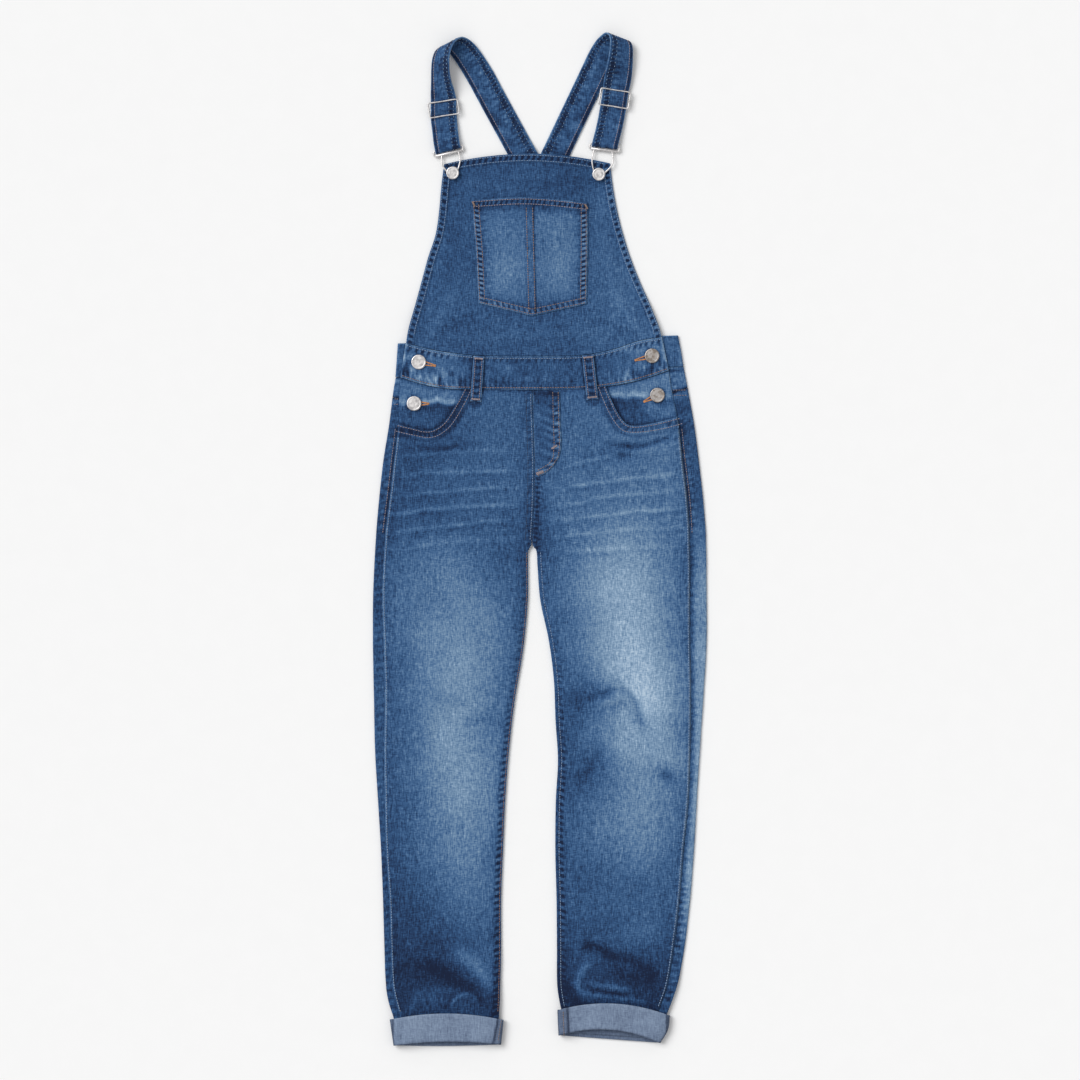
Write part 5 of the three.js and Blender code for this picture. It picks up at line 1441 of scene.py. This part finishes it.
def pocket_facing(side):
    leg = LEG[side]
    behind = scoop_line(side, 80, 11)
    seam_x = leg.at("seam", behind[:, 1])
    keep = (np.abs(behind[:, 0]) < np.abs(seam_x) - 2) & (behind[:, 1] < waist_low.at("y", behind[:, 0]) - 3)
    under = behind[keep]
    lowest = behind[-1][1]
    half = len(under) * 5 // 9
    seam_top = float(waist_low.at("y", leg.at("seam", SEAM_TOP[side]))) - GAP
    inner_edge = curve(under[half::-1])
    low_edge = curve(np.vstack([[float(leg.at("seam", lowest)), lowest], under[:half - 1:-1]]))
    top_from, top_to = float(leg.at("seam", seam_top)), under[0][0]

    def left(v):
        y = mix(lowest, seam_top, v)
        return pair(leg.at("seam", y), y)

    def high(u):
        x = mix(top_from, top_to, u)
        return pair(x, np.minimum(waist_low.at("y", x) - GAP, mix(seam_top, under[0][1], u) + 40))

    def right(v):
        points = inner_edge(v)
        target = high(np.ones(1))[0]
        return points + (target - inner_edge(np.ones(1))[0]) * np.asarray(v)[..., None]

    xy = panel_xy(left, right, low_edge, high, np.linspace(0, 1, 60), np.linspace(0, 1, 50))
    x, y = xy[..., 0], xy[..., 1]
    scoop, _ = distance_to(SCOOP_EDGE[side], x, y)
    line = mix(157, 163, (side == "right") * 1.0)
    line = line + 2.2 * noise(x, 0 * x, 9, 103)
    above = y - line
    inward = smooth(-150, -116, x) if side == "left" else smooth(140, 108, x)
    abrasion = 0.36 * bell(above, 3.4, 3.4) * (0.45 + 0.55 * inward) * (0.8 + 0.4 * noise(x, y, 9, 104))
    outward = smooth(104, 132, x) if side == "right" else 0.3 * smooth(-126, -150, x)
    wash_and_shade = 0.25 + 0.16 * outward + 0.19 * smooth(-3, 3, above) * (1 - 0.5 * outward)
    # a worn pale line, with painted shade just below it
    wash_and_shade = wash_and_shade + abrasion - 0.08 * bell(above, 3.5, -4)
    # painted shadow of the scoop band on the facing, and painted shade beside the loops and buttons
    wash_and_shade = wash_and_shade + 0.06 * noise(x, y, 14, 102) - 0.20 * (1 - smooth(0.5, 6, scoop)) - loop_shade(x, y)
    # painted shadow under the waistband's lower edge
    wash_and_shade = wash_and_shade - 0.14 * bell(waist_low.at("y", x) - y, 3)
    cloth("facing_" + side, with_height(xy, facing_height(x, y)), with_height(xy, FRONT_LOW), wash_and_shade, DENIM,
          ["pocket_facing_" + side])


def fly_height(x, y):
    right = FLY.at("xRight", y)
    edge = np.minimum(right - x, 30)
    base = front_under("right", x, y) + CLOTH + GAP + 0.15 + FACING
    rope = 0.24 * roping(np.abs(edge - 4), y, 6, 9, 111)
    return base + rope - 0.35 * (1 - smooth(0, 1.4, edge)) + 0.12 * noise(x, y, 16, 112)


def fly():
    high_y, high_left, high_right = FLY.rows[0]
    low_y, low_left, low_right = FLY.rows[-1]

    def left(v):
        y = mix(low_y, high_y, v)
        return pair(FLY.at("xLeft", y), y)

    def right(v):
        y = mix(low_y, high_y, v)
        return pair(FLY.at("xRight", y), y)

    def low(u):
        return pair(mix(low_left, low_right, u), low_y)

    def high(u):
        return pair(mix(high_left, high_right, u), high_y)

    xy = panel_xy(left, right, low, high, np.linspace(0, 1, 26), np.linspace(0, 1, 70))
    x, y = xy[..., 0], xy[..., 1]
    edge = FLY.at("xRight", y) - x
    # light and dark bands beside the stitching: painted light and shade of the puckers
    wash_and_shade = 0.32 + 0.05 * noise(x, y, 16, 113) + 0.26 * roping(edge, y + 0.4 * x, 19, 11, 111)
    wash_and_shade = wash_and_shade - 0.12 * smooth(148, 160, y)
    # painted shadow under the waistband
    wash_and_shade = wash_and_shade + hem_wash_and_shadow(edge, y, 6.4, 114, 0.26, 4.4, 2.8, 8.6) - 0.14 * bell(168.5 - y, 2.6)
    under = front_under("right", x, y) + CLOTH + GAP + 0.1
    cloth("fly_front", with_height(xy, fly_height(x, y)), with_height(xy, under), wash_and_shade, DENIM, ["fly"])


def loop_height(side, x, y):
    over = BAND_LOW + FRONT_BAND + 0.2 + GAP
    leg_top = front_under(side, x, y) + CLOTH
    return np.maximum(over, leg_top + GAP) + 0.5 * bell(y, 16, 190) + 1.6


def belt_loop(side):
    loop = BELT_LOOPS[side]
    high, low, half = np.array(loop["high"]), np.array(loop["low"]), loop["half"]
    turn = math.atan2(high[0] - low[0], high[1] - low[1])
    across = np.array([half * math.cos(turn), -half * math.sin(turn)])
    u, v = np.meshgrid(np.linspace(0, 1, 15), np.linspace(0, 1, 46))
    xy = mix(low, high, v[..., None]) + across * (2 * u - 1)[..., None]
    x, y = xy[..., 0], xy[..., 1]
    edge = np.minimum(u, 1 - u) * 2 * half
    end = np.minimum(v, 1 - v) * LOOP_LENGTH
    top = loop_height(side, x, y) - 0.5 * (1 - smooth(0, 1.3, edge)) - 0.5 * (1 - smooth(0, 1.6, end))
    top = top + 0.14 * roping(np.abs(edge - 2.5), y, 4, 7, 121) - 0.35 * bell(end, 1.5, 3.4)
    wash_and_shade = 0.22 + 0.05 * noise(x, y, 9, 122) + 0.38 * bell(edge, 1.1) + 0.24 * bell(end, 1.4)
    wash_and_shade = wash_and_shade - 0.20 * teeth(edge, y, 5.2, 2.6, 7.6, 123) - 0.22 * bell(end, 1.3, 3.6)
    cloth("loop_" + side, with_height(xy, top), with_height(xy, loop_height(side, x, y) - 1.6), wash_and_shade, DENIM,
          ["belt_loop_" + side])

    def height(px, py):
        return loop_height(side, px, py)

    way = (high - low) / np.linalg.norm(high - low)
    for sign in (-1, 1):
        offset = across / half * (half - 2.4) * sign
        run("rose", [low + offset + way * 2, high + offset - way * 2], height, 2.8)
    for at in (low + way * 2.6, high - way * 2.6):
        satin("rose", at - across * 0.8, at + across * 0.8, height, 1.1)


# Cuffs


def cuff_loop(side, v, offset, parts):
    """The points of one ring of a cuff at share v, on its outer wall or offset in from it."""
    spec = CUFF[side]
    end_height, middle_height = 10.2, 12.4
    rings = spec["rings"]
    left = np.array([float(rings.at("xLeft", v)), float(rings.at("yLeft", v))])
    right = np.array([float(rings.at("xRight", v)), float(rings.at("yRight", v))])
    radius = end_height / 2
    width = right[0] - left[0]
    inset = radius / width

    def put(share, forward, z):
        bulge = 4 * share * (1 - share)
        front = mix(spec["front"][1], spec["front"][0], 1 - v) * bulge
        back = mix(spec["back"][1], spec["back"][0], 1 - v) * bulge
        y = mix(left[1], right[1], share) + mix(back, front, forward)
        return np.stack([mix(left[0], right[0], share), y, np.broadcast_to(z, share.shape)], -1)

    along, angles = parts
    shares = mix(inset, 1 - inset, along)

    def turn(share, sign, angle):
        reach = radius - offset
        shifted = share + sign * reach * np.sin(angle) / width
        return put(shifted, angle / np.pi, radius - reach * np.cos(angle))

    top_z = mix(end_height, middle_height, arch(along)) - offset
    return np.vstack([
        put(shares, 0.0, np.full(shares.shape, float(offset))),
        turn(1 - inset, 1, angles),
        put(shares[::-1], 1.0, top_z[::-1]),
        turn(inset, -1, angles[::-1]),
    ])


def cuff(side):
    spec = CUFF[side]
    along = np.linspace(0, 1, 68)
    angles = np.linspace(0, np.pi, 12)[1:-1]
    vs = np.linspace(0, 1, 22)
    outside = np.array([cuff_loop(side, v, 0, (along, angles)) for v in vs])
    inside = np.array([cuff_loop(side, v, CUFF_WALL, (along, angles)) for v in vs])
    x, y, z = outside[..., 0], outside[..., 1], outside[..., 2]
    rows = vs[:, None]
    top = smooth(6, 9, z)
    low_x, high_x = outside[..., 0].min(), outside[..., 0].max()
    share = (x - low_x) / (high_x - low_x)
    seam_high, seam_low, way = spec["seam"]
    past_seam = way * (share - mix(seam_high, seam_low, rows)) * (high_x - low_x)
    band = smooth(-0.6, 0.2, past_seam) * top
    edge = np.minimum(rows, 1 - rows) * CUFF_DEPTH
    round_edge = 0.7 * (1 - smooth(0, 2.6, edge))
    folds = patches(CUFF_FOLDS, x, y)
    relief = 0.6 * band + 0.35 * noise(x, y, 26, 131) + 0.16 * noise(x, y, 10, 132) + folds
    outside[..., 2] += top * (relief - round_edge)
    base = 0.45 if side == "left" else 0.43
    # the folds' heights also darken the troughs and lighten the ridges: painted shade and light
    wash_and_shade = base + 0.03 * noise(x, y, 24, 133) + 0.03 * noise(x, y, 7, 134) + 0.10 * folds
    wash_and_shade = wash_and_shade - 0.20 * band + top * 0.10 * bell(past_seam, 0.8, 4.2)
    wash_and_shade = wash_and_shade - top * 0.42 * bell(past_seam, 1.2, 0.4)
    far_end = (share if way > 0 else 1 - share) * (high_x - low_x)
    # painted shade in the fold at the cuff's far end, with a darker line along it
    wash_and_shade = wash_and_shade - top * (0.20 * (1 - smooth(3.4, 5, far_end)) + 0.36 * bell(far_end, 1.1, 3.8))
    # a painted highlight along the cuff's upper edge, and a darker line along its lower edge
    wash_and_shade = wash_and_shade + 0.10 * bell(rows * CUFF_DEPTH, 1.2) - top * 0.20 * bell((1 - rows) * CUFF_DEPTH, 1.4)
    # painted shade on the cuff's lower layer and side walls, which show in its opening and at its ends
    wash_and_shade = wash_and_shade - 0.34 * (1 - smooth(7.2, 9.4, z)) * smooth(0.5, 2, z) - 0.15 * (1 - smooth(0.5, 2, z))
    cloth("cuff_turned_" + side, outside, inside, wash_and_shade, DENIM_REVERSE, ["cuff_" + side], ring=True)

    def height(px, py):
        near = np.argmin((outside[..., 0] - px[0]) ** 2 + (outside[..., 1] - py[0]) ** 2 + 400 * (z < 7))
        return np.array([outside[..., 2].reshape(-1)[near]])

    for past, colour in ((1.0, "navy"), (5.6, "tan")):
        ends = []
        for v in (0.2, 0.82):
            column = mix(low_x, high_x, mix(seam_high, seam_low, v)) + way * past
            ends.append((column, mix(float(outside[0, :, 1].max()), float(outside[-1, :, 1].min()), v)))
        run(colour, ends, height, 3.0, 0.4)


# Straps


def across_strap(centre, tilt, z, out):
    turn = math.radians(tilt)
    half = STRAP_HALF - 0.6
    reach = (half * math.cos(turn), half * math.sin(turn))
    return ([centre[0] + out * reach[0], centre[1] + out * reach[1], z],
            [centre[0] - out * reach[0], centre[1] - out * reach[1], z])


def strap_stations(side):
    back = STRAP_BACK[side]
    metal_at = HARDWARE[side]
    out = back["out"]
    dx, dy = back["along"]
    stations = []
    for along, z in STRAP_RISE[side]:
        cx, cy = back["start"][0] + dx * along, back["start"][1] + dy * along
        stations.append(([cx + out * dy * STRAP_HALF, cy - out * dx * STRAP_HALF, z],
                         [cx - out * dy * STRAP_HALF, cy + out * dx * STRAP_HALF, z]))
    stations += [(row[:3], row[3:]) for row in STRAP_TURN[side]]
    high, low = np.array(metal_at["slider_high"]), np.array(metal_at["slider_low"])
    for t in np.linspace(0, 1, 5):
        rise = SLIDER_RISE * math.sin(math.pi * t) ** 2
        stations.append(across_strap(mix(high, low, t), metal_at["slider_tilt"], STRAP_LOW + rise, out))
    for i, (x, y, z) in enumerate(metal_at["below"]):
        tilt = mix(metal_at["slider_tilt"], metal_at["buckle_tilt"], (i + 1) / 3)
        stations.append(across_strap((x, y), tilt, z, out))
    tilt = math.radians(metal_at["buckle_tilt"])
    up = np.array([-math.sin(tilt), math.cos(tilt)])
    buckle_at = np.array(metal_at["buckle"])
    for t in np.linspace(0, 1, 7):
        reach = BAR_STEP - WRAP * math.sin(math.pi * t)
        stations.append(across_strap(buckle_at + up * reach, metal_at["buckle_tilt"],
                                     BAR_Z + WRAP * math.cos(math.pi * t), out))
    stations.append(across_strap(metal_at["below"][1][:2], metal_at["buckle_tilt"], RETURN_LOW, out))
    stations.append(across_strap(metal_at["below"][0][:2], metal_at["slider_tilt"], RETURN_LOW, out))
    stations.append(across_strap(mix(low, high, 0.4), metal_at["slider_tilt"], RETURN_LOW, out))
    return stations


def strap(side):
    stations = strap_stations(side)
    path_a, path_b = Path([s[0] for s in stations]), Path([s[1] for s in stations])
    ts = np.linspace(0, 1, 1600)
    walked = np.r_[0, np.cumsum(np.linalg.norm(np.diff((path_a.at(ts) + path_b.at(ts)) / 2, axis=0), axis=1))]
    lengths = np.linspace(0, walked[-1], int(walked[-1] / 1.35))
    ts = np.interp(lengths, walked, ts)
    a, b = path_a.at(ts), path_b.at(ts)
    a[:, 2], b[:, 2] = np.maximum(a[:, 2], STRAP / 2), np.maximum(b[:, 2], STRAP / 2)
    middle = (a + b) / 2
    normal = np.cross(np.gradient(middle, axis=0), b - a)
    normal /= np.linalg.norm(normal, axis=1)[:, None]
    u = np.r_[np.linspace(0, 0.2, 8), np.linspace(0.2, 0.6, 8)[1:], np.linspace(0.6, 1, 15)[1:]]
    s, across = np.meshgrid(lengths, u * 2 * STRAP_HALF, indexing="ij")
    from_b = 2 * STRAP_HALF - across
    edge = np.minimum(across, from_b)
    seed = 141 + (side == "left")
    broken = 0.55 + 0.45 * smooth(-0.5, 0.4, noise(s, 0 * s, 15, seed + 5))
    hollows = teeth(from_b, s, 6.2, 3.2, 4.2, seed) * broken
    round_edge = 0.35 * (1 - smooth(0, 1.3, edge))
    offset = STRAP / 2 - round_edge - 0.22 * hollows + 0.08 * noise(s, across, 16, 143)
    centre = mix(a[:, None], b[:, None], u[None, :, None])
    outside = centre + normal[:, None] * offset[..., None]
    inside = centre - normal[:, None] * (STRAP / 2 - round_edge)[..., None]
    outside[..., 2] = np.maximum(outside[..., 2], 0.02)
    inside[..., 2] = np.maximum(inside[..., 2], 0.02)
    wash_and_shade = 0.27 + 0.07 * noise(s, across, 20, 144) + 0.10 * noise(s, across, 6, 145) - 0.26 * hollows
    wash_and_shade = wash_and_shade + 0.14 * roping(from_b - 13, s, 4, 6.4, seed + 7) - 0.16 * bell(from_b, 3.6, 6.2, power=4)
    wash_and_shade = wash_and_shade - 0.24 * bell(across, 2.0, 2.6, power=4)
    wash_and_shade = wash_and_shade + 0.28 * bell(edge, 0.9) + 0.12 * bell(across, 0.7, 4.8)
    cloth("strap_ribbon_" + side, outside, inside, wash_and_shade, DENIM_STRAP[side], ["strap_" + side])

    def on_line(line, at):
        return [np.interp(at, lengths, line[:, k]) for k in range(3)]

    width = 2 * STRAP_HALF
    rows = [
        ("rose", 4.8, 2.6, 0.36, 3.1),
        ("pale", width - 3.4, 1.7, 0.46, 4.2),
        ("pale", width - 9.0, 1.7, 0.46, 4.2),
    ]
    for colour, inset, length, radius, pitch in rows:
        for face in (1, -1):
            line = mix(a, b, inset / width) + face * normal * (STRAP / 2 + 0.15)
            for mark in np.arange(4, lengths[-1] - 4, pitch):
                start, end = on_line(line, mark), on_line(line, mark + length)
                faces_up = face * np.interp(mark, lengths, normal[:, 2])
                if faces_up > -0.4 and start[2] > 0.5:
                    stitch(colour, start, end, radius)


# Metal


def turned(centre, x, y, turn):
    """A place near a centre, given along axes that are turned in the plane."""
    return (centre[0] + x * math.cos(turn) - y * math.sin(turn),
            centre[1] + x * math.sin(turn) + y * math.cos(turn))


def tube(points, radius, closed, count, sides=14):
    path = Path(points, closed)
    ts = np.arange(count) / count if closed else np.linspace(0, 1, count)
    line = path.at(ts)
    ahead = (np.roll(line, -1, 0) - np.roll(line, 1, 0)) if closed else np.gradient(line, axis=0)
    ahead /= np.linalg.norm(ahead, axis=1)[:, None]
    side = np.cross(ahead, [0, 0, 1.0])
    side /= np.maximum(np.linalg.norm(side, axis=1), 1e-6)[:, None]
    up = np.cross(side, ahead)
    angles = np.arange(sides) * 2 * np.pi / sides
    around = np.cos(angles)[None, :, None] * side[:, None] + np.sin(angles)[None, :, None] * up[:, None]
    rings = line[:, None] + radius * around
    rows = count if closed else count - 1
    i = np.arange(rows)[:, None]
    j = np.arange(sides)[None, :]
    k, n = (i + 1) % count, (j + 1) % sides
    faces = np.stack([i * sides + j, k * sides + j, k * sides + n, i * sides + n], -1).reshape(-1, 4).tolist()
    if not closed:
        faces += [list(range(sides)), [(count - 1) * sides + s for s in range(sides)][::-1]]
    return rings.reshape(-1, 3), faces


def box_points(centre, size, tilt):
    """A flat bar with its edges rounded, turned in the plane."""
    hx, hy, hz = (s / 2 for s in size)
    turn = math.radians(tilt)
    ring = [(-hy, -hz * 0.4), (-hy * 0.8, -hz), (hy * 0.8, -hz), (hy, -hz * 0.4),
            (hy, hz * 0.4), (hy * 0.8, hz), (-hy * 0.8, hz), (-hy, hz * 0.4)]
    points, faces = [], []
    for x, fat in ((-hx, 0.7), (-hx + 0.5, 1), (hx - 0.5, 1), (hx, 0.7)):
        for y, z in ring:
            points.append((*turned(centre, x, y * fat, turn), centre[2] + z * fat))
    for i in range(3):
        for j in range(8):
            n = (j + 1) % 8
            faces.append([i * 8 + j, i * 8 + n, (i + 1) * 8 + n, (i + 1) * 8 + j])
    faces += [list(range(8))[::-1], [24 + j for j in range(8)]]
    return np.array(points), faces


def join_parts(parts):
    points, faces, base = [], [], 0
    for p, f in parts:
        points.append(p)
        faces += [[base + i for i in face] for face in f]
        base += len(p)
    return np.vstack(points), faces


def wire_frame(centre, half_x, half_y, tilt, z, radius):
    corner = 1.6
    turn = math.radians(tilt)
    outline = [(half_x, 0), (half_x, half_y - corner), (half_x - corner * 0.3, half_y - corner * 0.3),
               (half_x - corner, half_y), (0, half_y)]
    quarter = outline + [(-x, y) for x, y in outline[:-1][::-1]]
    whole = quarter + [(x, -y) for x, y in quarter[1:-1][::-1]]
    points = [(*turned(centre, x, y, turn), z) for x, y in whole]
    return tube(points, radius, True, 120)


def slider(side):
    at = HARDWARE[side]
    high, low = np.array(at["slider_high"]), np.array(at["slider_low"])
    centre = (high + low) / 2
    half = np.linalg.norm(high - low) / 2
    z = STRAP_LOW + STRAP / 2 + GAP + WIRE
    turn = math.radians(at["slider_tilt"])
    way = np.array([math.cos(turn), math.sin(turn)]) * SLIDER_HALF
    bar = tube([(*(centre - way), z), (*(centre + way), z)], WIRE * 0.9, False, 12)
    points, faces = join_parts([wire_frame(centre, SLIDER_HALF, half, at["slider_tilt"], z, WIRE), bar])
    piece = mesh_object("slider_wire_" + side, points, faces, NICKEL)
    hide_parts("slider_" + side)


def buckle(side):
    at = HARDWARE[side]
    tilt = math.radians(at["buckle_tilt"])
    up = np.array([-math.sin(tilt), math.cos(tilt)])
    base = np.array(at["buckle"])
    middle = base + up * BAR_STEP / 2
    frame_part = wire_frame(middle, BUCKLE_HALF, BAR_STEP / 2, at["buckle_tilt"], BAR_Z, 1.0)
    bar = box_points((*base, BAR_Z), (2 * BUCKLE_HALF - 2, 3.0, 1.9), at["buckle_tilt"])
    bx, by = at["button"]
    grip = SHANK + 0.5 + WIRE
    around = [(bx + grip * math.cos(t), by + grip * math.sin(t), LOOP_Z)
              for t in np.linspace(math.pi * 1.06, math.pi * 1.94, 7)]

    def on_bar(along):
        return (*turned(base, along, 0, tilt), BAR_Z)

    loop = tube([on_bar(at["loop_from"]), (*at["loop_out"], LOOP_Z), *around, (*at["loop_back"], LOOP_Z),
                 on_bar(at["loop_to"])], WIRE, False, 90)
    points, faces = join_parts([frame_part, bar, loop])
    piece = mesh_object("buckle_wire_" + side, points, faces, NICKEL)
    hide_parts("buckle_" + side)


def button(name, radius, at, rest, under, material, replaced):
    top = under + HEAD_THICK
    profile = [
        (0.01, rest), (SHANK, rest), (SHANK, under),
        (radius - 0.9, under), (radius - 0.25, under + 0.3), (radius, under + 0.8),
        (radius - 0.15, top - 0.5), (radius - 0.6, top - 0.2), (radius - 1.1, top - 0.12),
        (radius - 1.6, top - 0.22), (radius - 2.1, top - 0.32), (radius - 2.7, top - 0.3),
        (radius * 0.45, top - 0.24), (radius * 0.32, top - 0.2), (radius * 0.24, top - 0.3),
        (radius * 0.12, top - 0.26), (0.01, top - 0.24),
    ]
    sides = 64
    angles = np.arange(sides) * 2 * np.pi / sides
    around = [(np.cos(angle), np.sin(angle)) for angle in angles]
    points = np.array([[(at[0] + r * ax, at[1] + r * ay, z) for ax, ay in around] for r, z in profile])
    faces = []
    for i in range(len(profile) - 1):
        for j in range(sides):
            n = (j + 1) % sides
            faces.append([i * sides + j, i * sides + n, (i + 1) * sides + n, (i + 1) * sides + j])
    faces += [list(range(sides))[::-1], [(len(profile) - 1) * sides + j for j in range(sides)]]
    piece = mesh_object(name, points.reshape(-1, 3), faces, material)
    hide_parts(replaced)


def buttonhole(at, end, height):
    """Close orange stitches on both sides of the slit and across its inner end, and a short navy row where the
    slit starts.
    """
    at, end = np.array(at, float), np.array(end, float)
    way = (end - at) / np.linalg.norm(end - at)
    side = np.array([-way[1], way[0]])
    start = at + way * 7.4
    for sign in (-1, 1):
        satin("orange", start + side * 1.9 * sign, end + side * 0.5 * sign, height, 0.8, 0.5, 0.4)
    satin("orange", end + side, end - side, height, 0.9, 0.5, 0.4)
    run("navy", [start, start + way * 3], height, 1.6, 0.34, 0.1)


for which in ("left", "right"):
    back_leg(which)
    back_yoke(which)
    pocket_facing(which)
    front_leg(which)
    strap(which)
    cuff(which)
back_waistband()
front_waistband()
bib()
bib_pocket()
fly()
for which in ("left", "right"):
    belt_loop(which)
    slider(which)
    buckle(which)
    bx, by = HARDWARE[which]["button"]
    cloth_z = float(bib_under(np.array([bx]), np.array([by]))[0]) + CLOTH + HEM_RISE
    button("tack_bib_" + which, BIB_BUTTON, (bx, by), cloth_z + 2 * GAP, LOOP_Z + WIRE + GAP, NICKEL,
           "button_bib_" + which)
for spot, spec in SIDE_BUTTONS.items():
    finish = WORN_NICKEL if spot.endswith("right") else NICKEL
    level = spot.split("_")[0]
    under = BUTTON_CLOTH[level] + GAP + 0.2
    button("tack_" + spot, WAIST_BUTTON, spec["at"], BUTTON_REST[level] + GAP, under, finish, "button_" + spot)


# Stitching


def along_leg(side, name, inset, y_from, y_to, step=6.0):
    ys = np.arange(y_from, y_to, -step)
    out = -1 if side == "left" else 1
    sign = out if name == "inner" else -out
    return np.stack([LEG[side].at(name, ys) + sign * inset, ys], -1)


def on_front(side):
    return lambda x, y: front_top(side, x, y)


for which, end, colour, inset in (("left", -548, "copper", 1.6), ("right", -538, "blue", 4.4)):
    run(colour, along_leg(which, "inner", inset, -14, end), on_front(which))
    run("blue", along_leg(which, "seam", 1.8, 118, end), on_front(which), 3.0, 0.5)
    for away in (1.6, 8.2):
        run("rose", scoop_line(which, 60, away), on_front(which))
run("blue", along_leg("left", "inner", 2.0, 168, -4), on_front("left"))
run("navy", along_leg("left", "inner", 7.4, 168, -2), on_front("left"), 3.0, 0.3)


def strip_height(x, y):
    return np.full(np.shape(x), LEG_FOLD)


for which, sign in (("left", -1), ("right", 1)):
    ys = np.arange(128, 4, -6.0)
    run("rose", pair(LEG[which].at("seam", ys) + sign * 3.2, ys), strip_height, 3.0, 0.36, 0.0)
    for drop in (2.4, 8.4):
        level = YOKE_LOW[which] - drop
        near = float(LEG[which].at("seam", level)) + sign
        far = float(LEG[which].at("outer", level)) - sign * 2.2
        run("rose", [(near, level), (far, level)], strip_height, 3.0, 0.36, 0.0)
fly_outer = np.array([(22.7, 170.5), (23.3, 136.8), (24.1, 107.5), (20.5, 92.8), (10.2, 79.7), (-3.0, 72.1)])
fly_curve = curve(fly_outer)(np.linspace(0, 1, 40))
for inset in (1.8, 8.0):
    upright = smooth(76, 104, fly_curve[:, 1])
    row = fly_curve.copy()
    row[:, 0] -= inset * upright
    row[:, 1] += inset * (1 - upright)
    run("tan", row, fly_height)
satin("rose", (-4, 76), (4, 79), fly_height, 1.8)
satin("rose", (13.5, 105), (19.5, 108.5), fly_height, 1.2)

us = np.linspace(0.004, 0.996, 160)
low_line = pair(WAIST.at("xLow", us), WAIST.at("yLow", us))
high_line = pair(WAIST.at("xHigh", us), WAIST.at("yHigh", us))
for share, colour in ((0.06, "tan"), (0.94, "blue")):
    run(colour, mix(low_line, high_line, share), waist_height, 3.0, 0.44)
ys = np.arange(236, 430, 5.0)
for edge_table, direction in ((bib_left, 1), (bib_right, -1)):
    for inset in (1.6, 7.8):
        run("blue", pair(edge_table.at("x", ys) + direction * inset, ys), bib_height)
xs = np.arange(-106, 77, 5.0)
for inset in (1.6, 7.8):
    run("blue", pair(xs, bib_arch(xs) - inset), bib_height)

ys = np.linspace(276, 386, 24)
for inset in (1.6, 7.2):
    run("tan", pair(pocket_line("left", ys) + inset, ys), pocket_height)
    run("tan", pair(pocket_line("right", ys) - inset, ys), pocket_height)
    run("tan", [(-69.0, 272.0 + inset), (-9.2, 257.9 + inset), (52.0, 271.2 + inset)], pocket_height)
    top_points = curve(POCKET_TOP)(np.linspace(0.015, 0.985, 30))
    run("rose", top_points - np.array([0, inset + 0.3]), pocket_height, 3.0, 0.44)
for offset in (-3.6, 3.6):
    run("tan", [(-9.2 + offset, 262), (-12.2 + offset, 382)], pocket_height, 3.0, 0.44)
for corner in ((-77.6, 388.6), (51.8, 385.6)):
    satin("tan", corner, (corner[0] + 2.6, corner[1] - 5), pocket_height, 1.1)


for spot, spec in SIDE_BUTTONS.items():
    buttonhole(spec["at"], spec["hole"], waist_height if spot.startswith("waist") else facing_height)
make_threads()


# Surface, light and camera

floor_mesh = bpy.data.meshes.new("floor")
FLOOR_Z = -0.0004
floor_corners = [(x, y, FLOOR_Z) for x, y in ((-6, -6), (6, -6), (6, 6), (-6, 6))]
floor_mesh.from_pydata(floor_corners, [], [(0, 1, 2, 3)])
floor_material, floor_tree, floor_shader = nodes_of("paper_white")
grain = noise_node(floor_tree, place_node(floor_tree), 40.0, (1, 1, 1), 0)
whites = ramp_node(floor_tree, grain, [(0, (0.90, 0.90, 0.90, 1)), (1, (0.92, 0.92, 0.92, 1))])
floor_tree.links.new(whites, floor_shader.inputs["Base Color"])
floor_shader.inputs["Roughness"].default_value = 1.0
floor_mesh.materials.append(floor_material)
floor = bpy.data.objects.new("floor", floor_mesh)
bpy.context.scene.collection.objects.link(floor)

world = bpy.data.worlds.new("studio")
world.use_nodes = True
world.node_tree.nodes["Background"].inputs["Color"].default_value = (1.0, 1.0, 1.0, 1)
world.node_tree.nodes["Background"].inputs["Strength"].default_value = 0.56
bpy.context.scene.world = world
bpy.context.scene.view_settings.view_transform = "Standard"


def far_light(name, place_at, spread, strength):
    """A light so far away that it is even all over, and as soft as its spread in degrees."""
    light = bpy.data.lights.new(name, "SUN")
    light.angle = math.radians(spread)
    light.energy = strength
    lamp = bpy.data.objects.new(name, light)
    lamp.location = place_at
    lamp.rotation_euler = Vector(place_at).to_track_quat("Z", "Y").to_euler()
    bpy.context.scene.collection.objects.link(lamp)


far_light("key", (-2.4, 1.6, 3.2), 36, 1.97)

camera_data = bpy.data.cameras.new("overhead")
camera_data.sensor_width = 36
CAMERA_HEIGHT = 6.0
camera_data.lens = 36 * CAMERA_HEIGHT / 1.242
camera_data.clip_end = 50
camera = bpy.data.objects.new("overhead", camera_data)
camera.location = (SHIFT[0] / 1000, SHIFT[1] / 1000, CAMERA_HEIGHT)
bpy.context.scene.collection.objects.link(camera)
bpy.context.scene.camera = camera
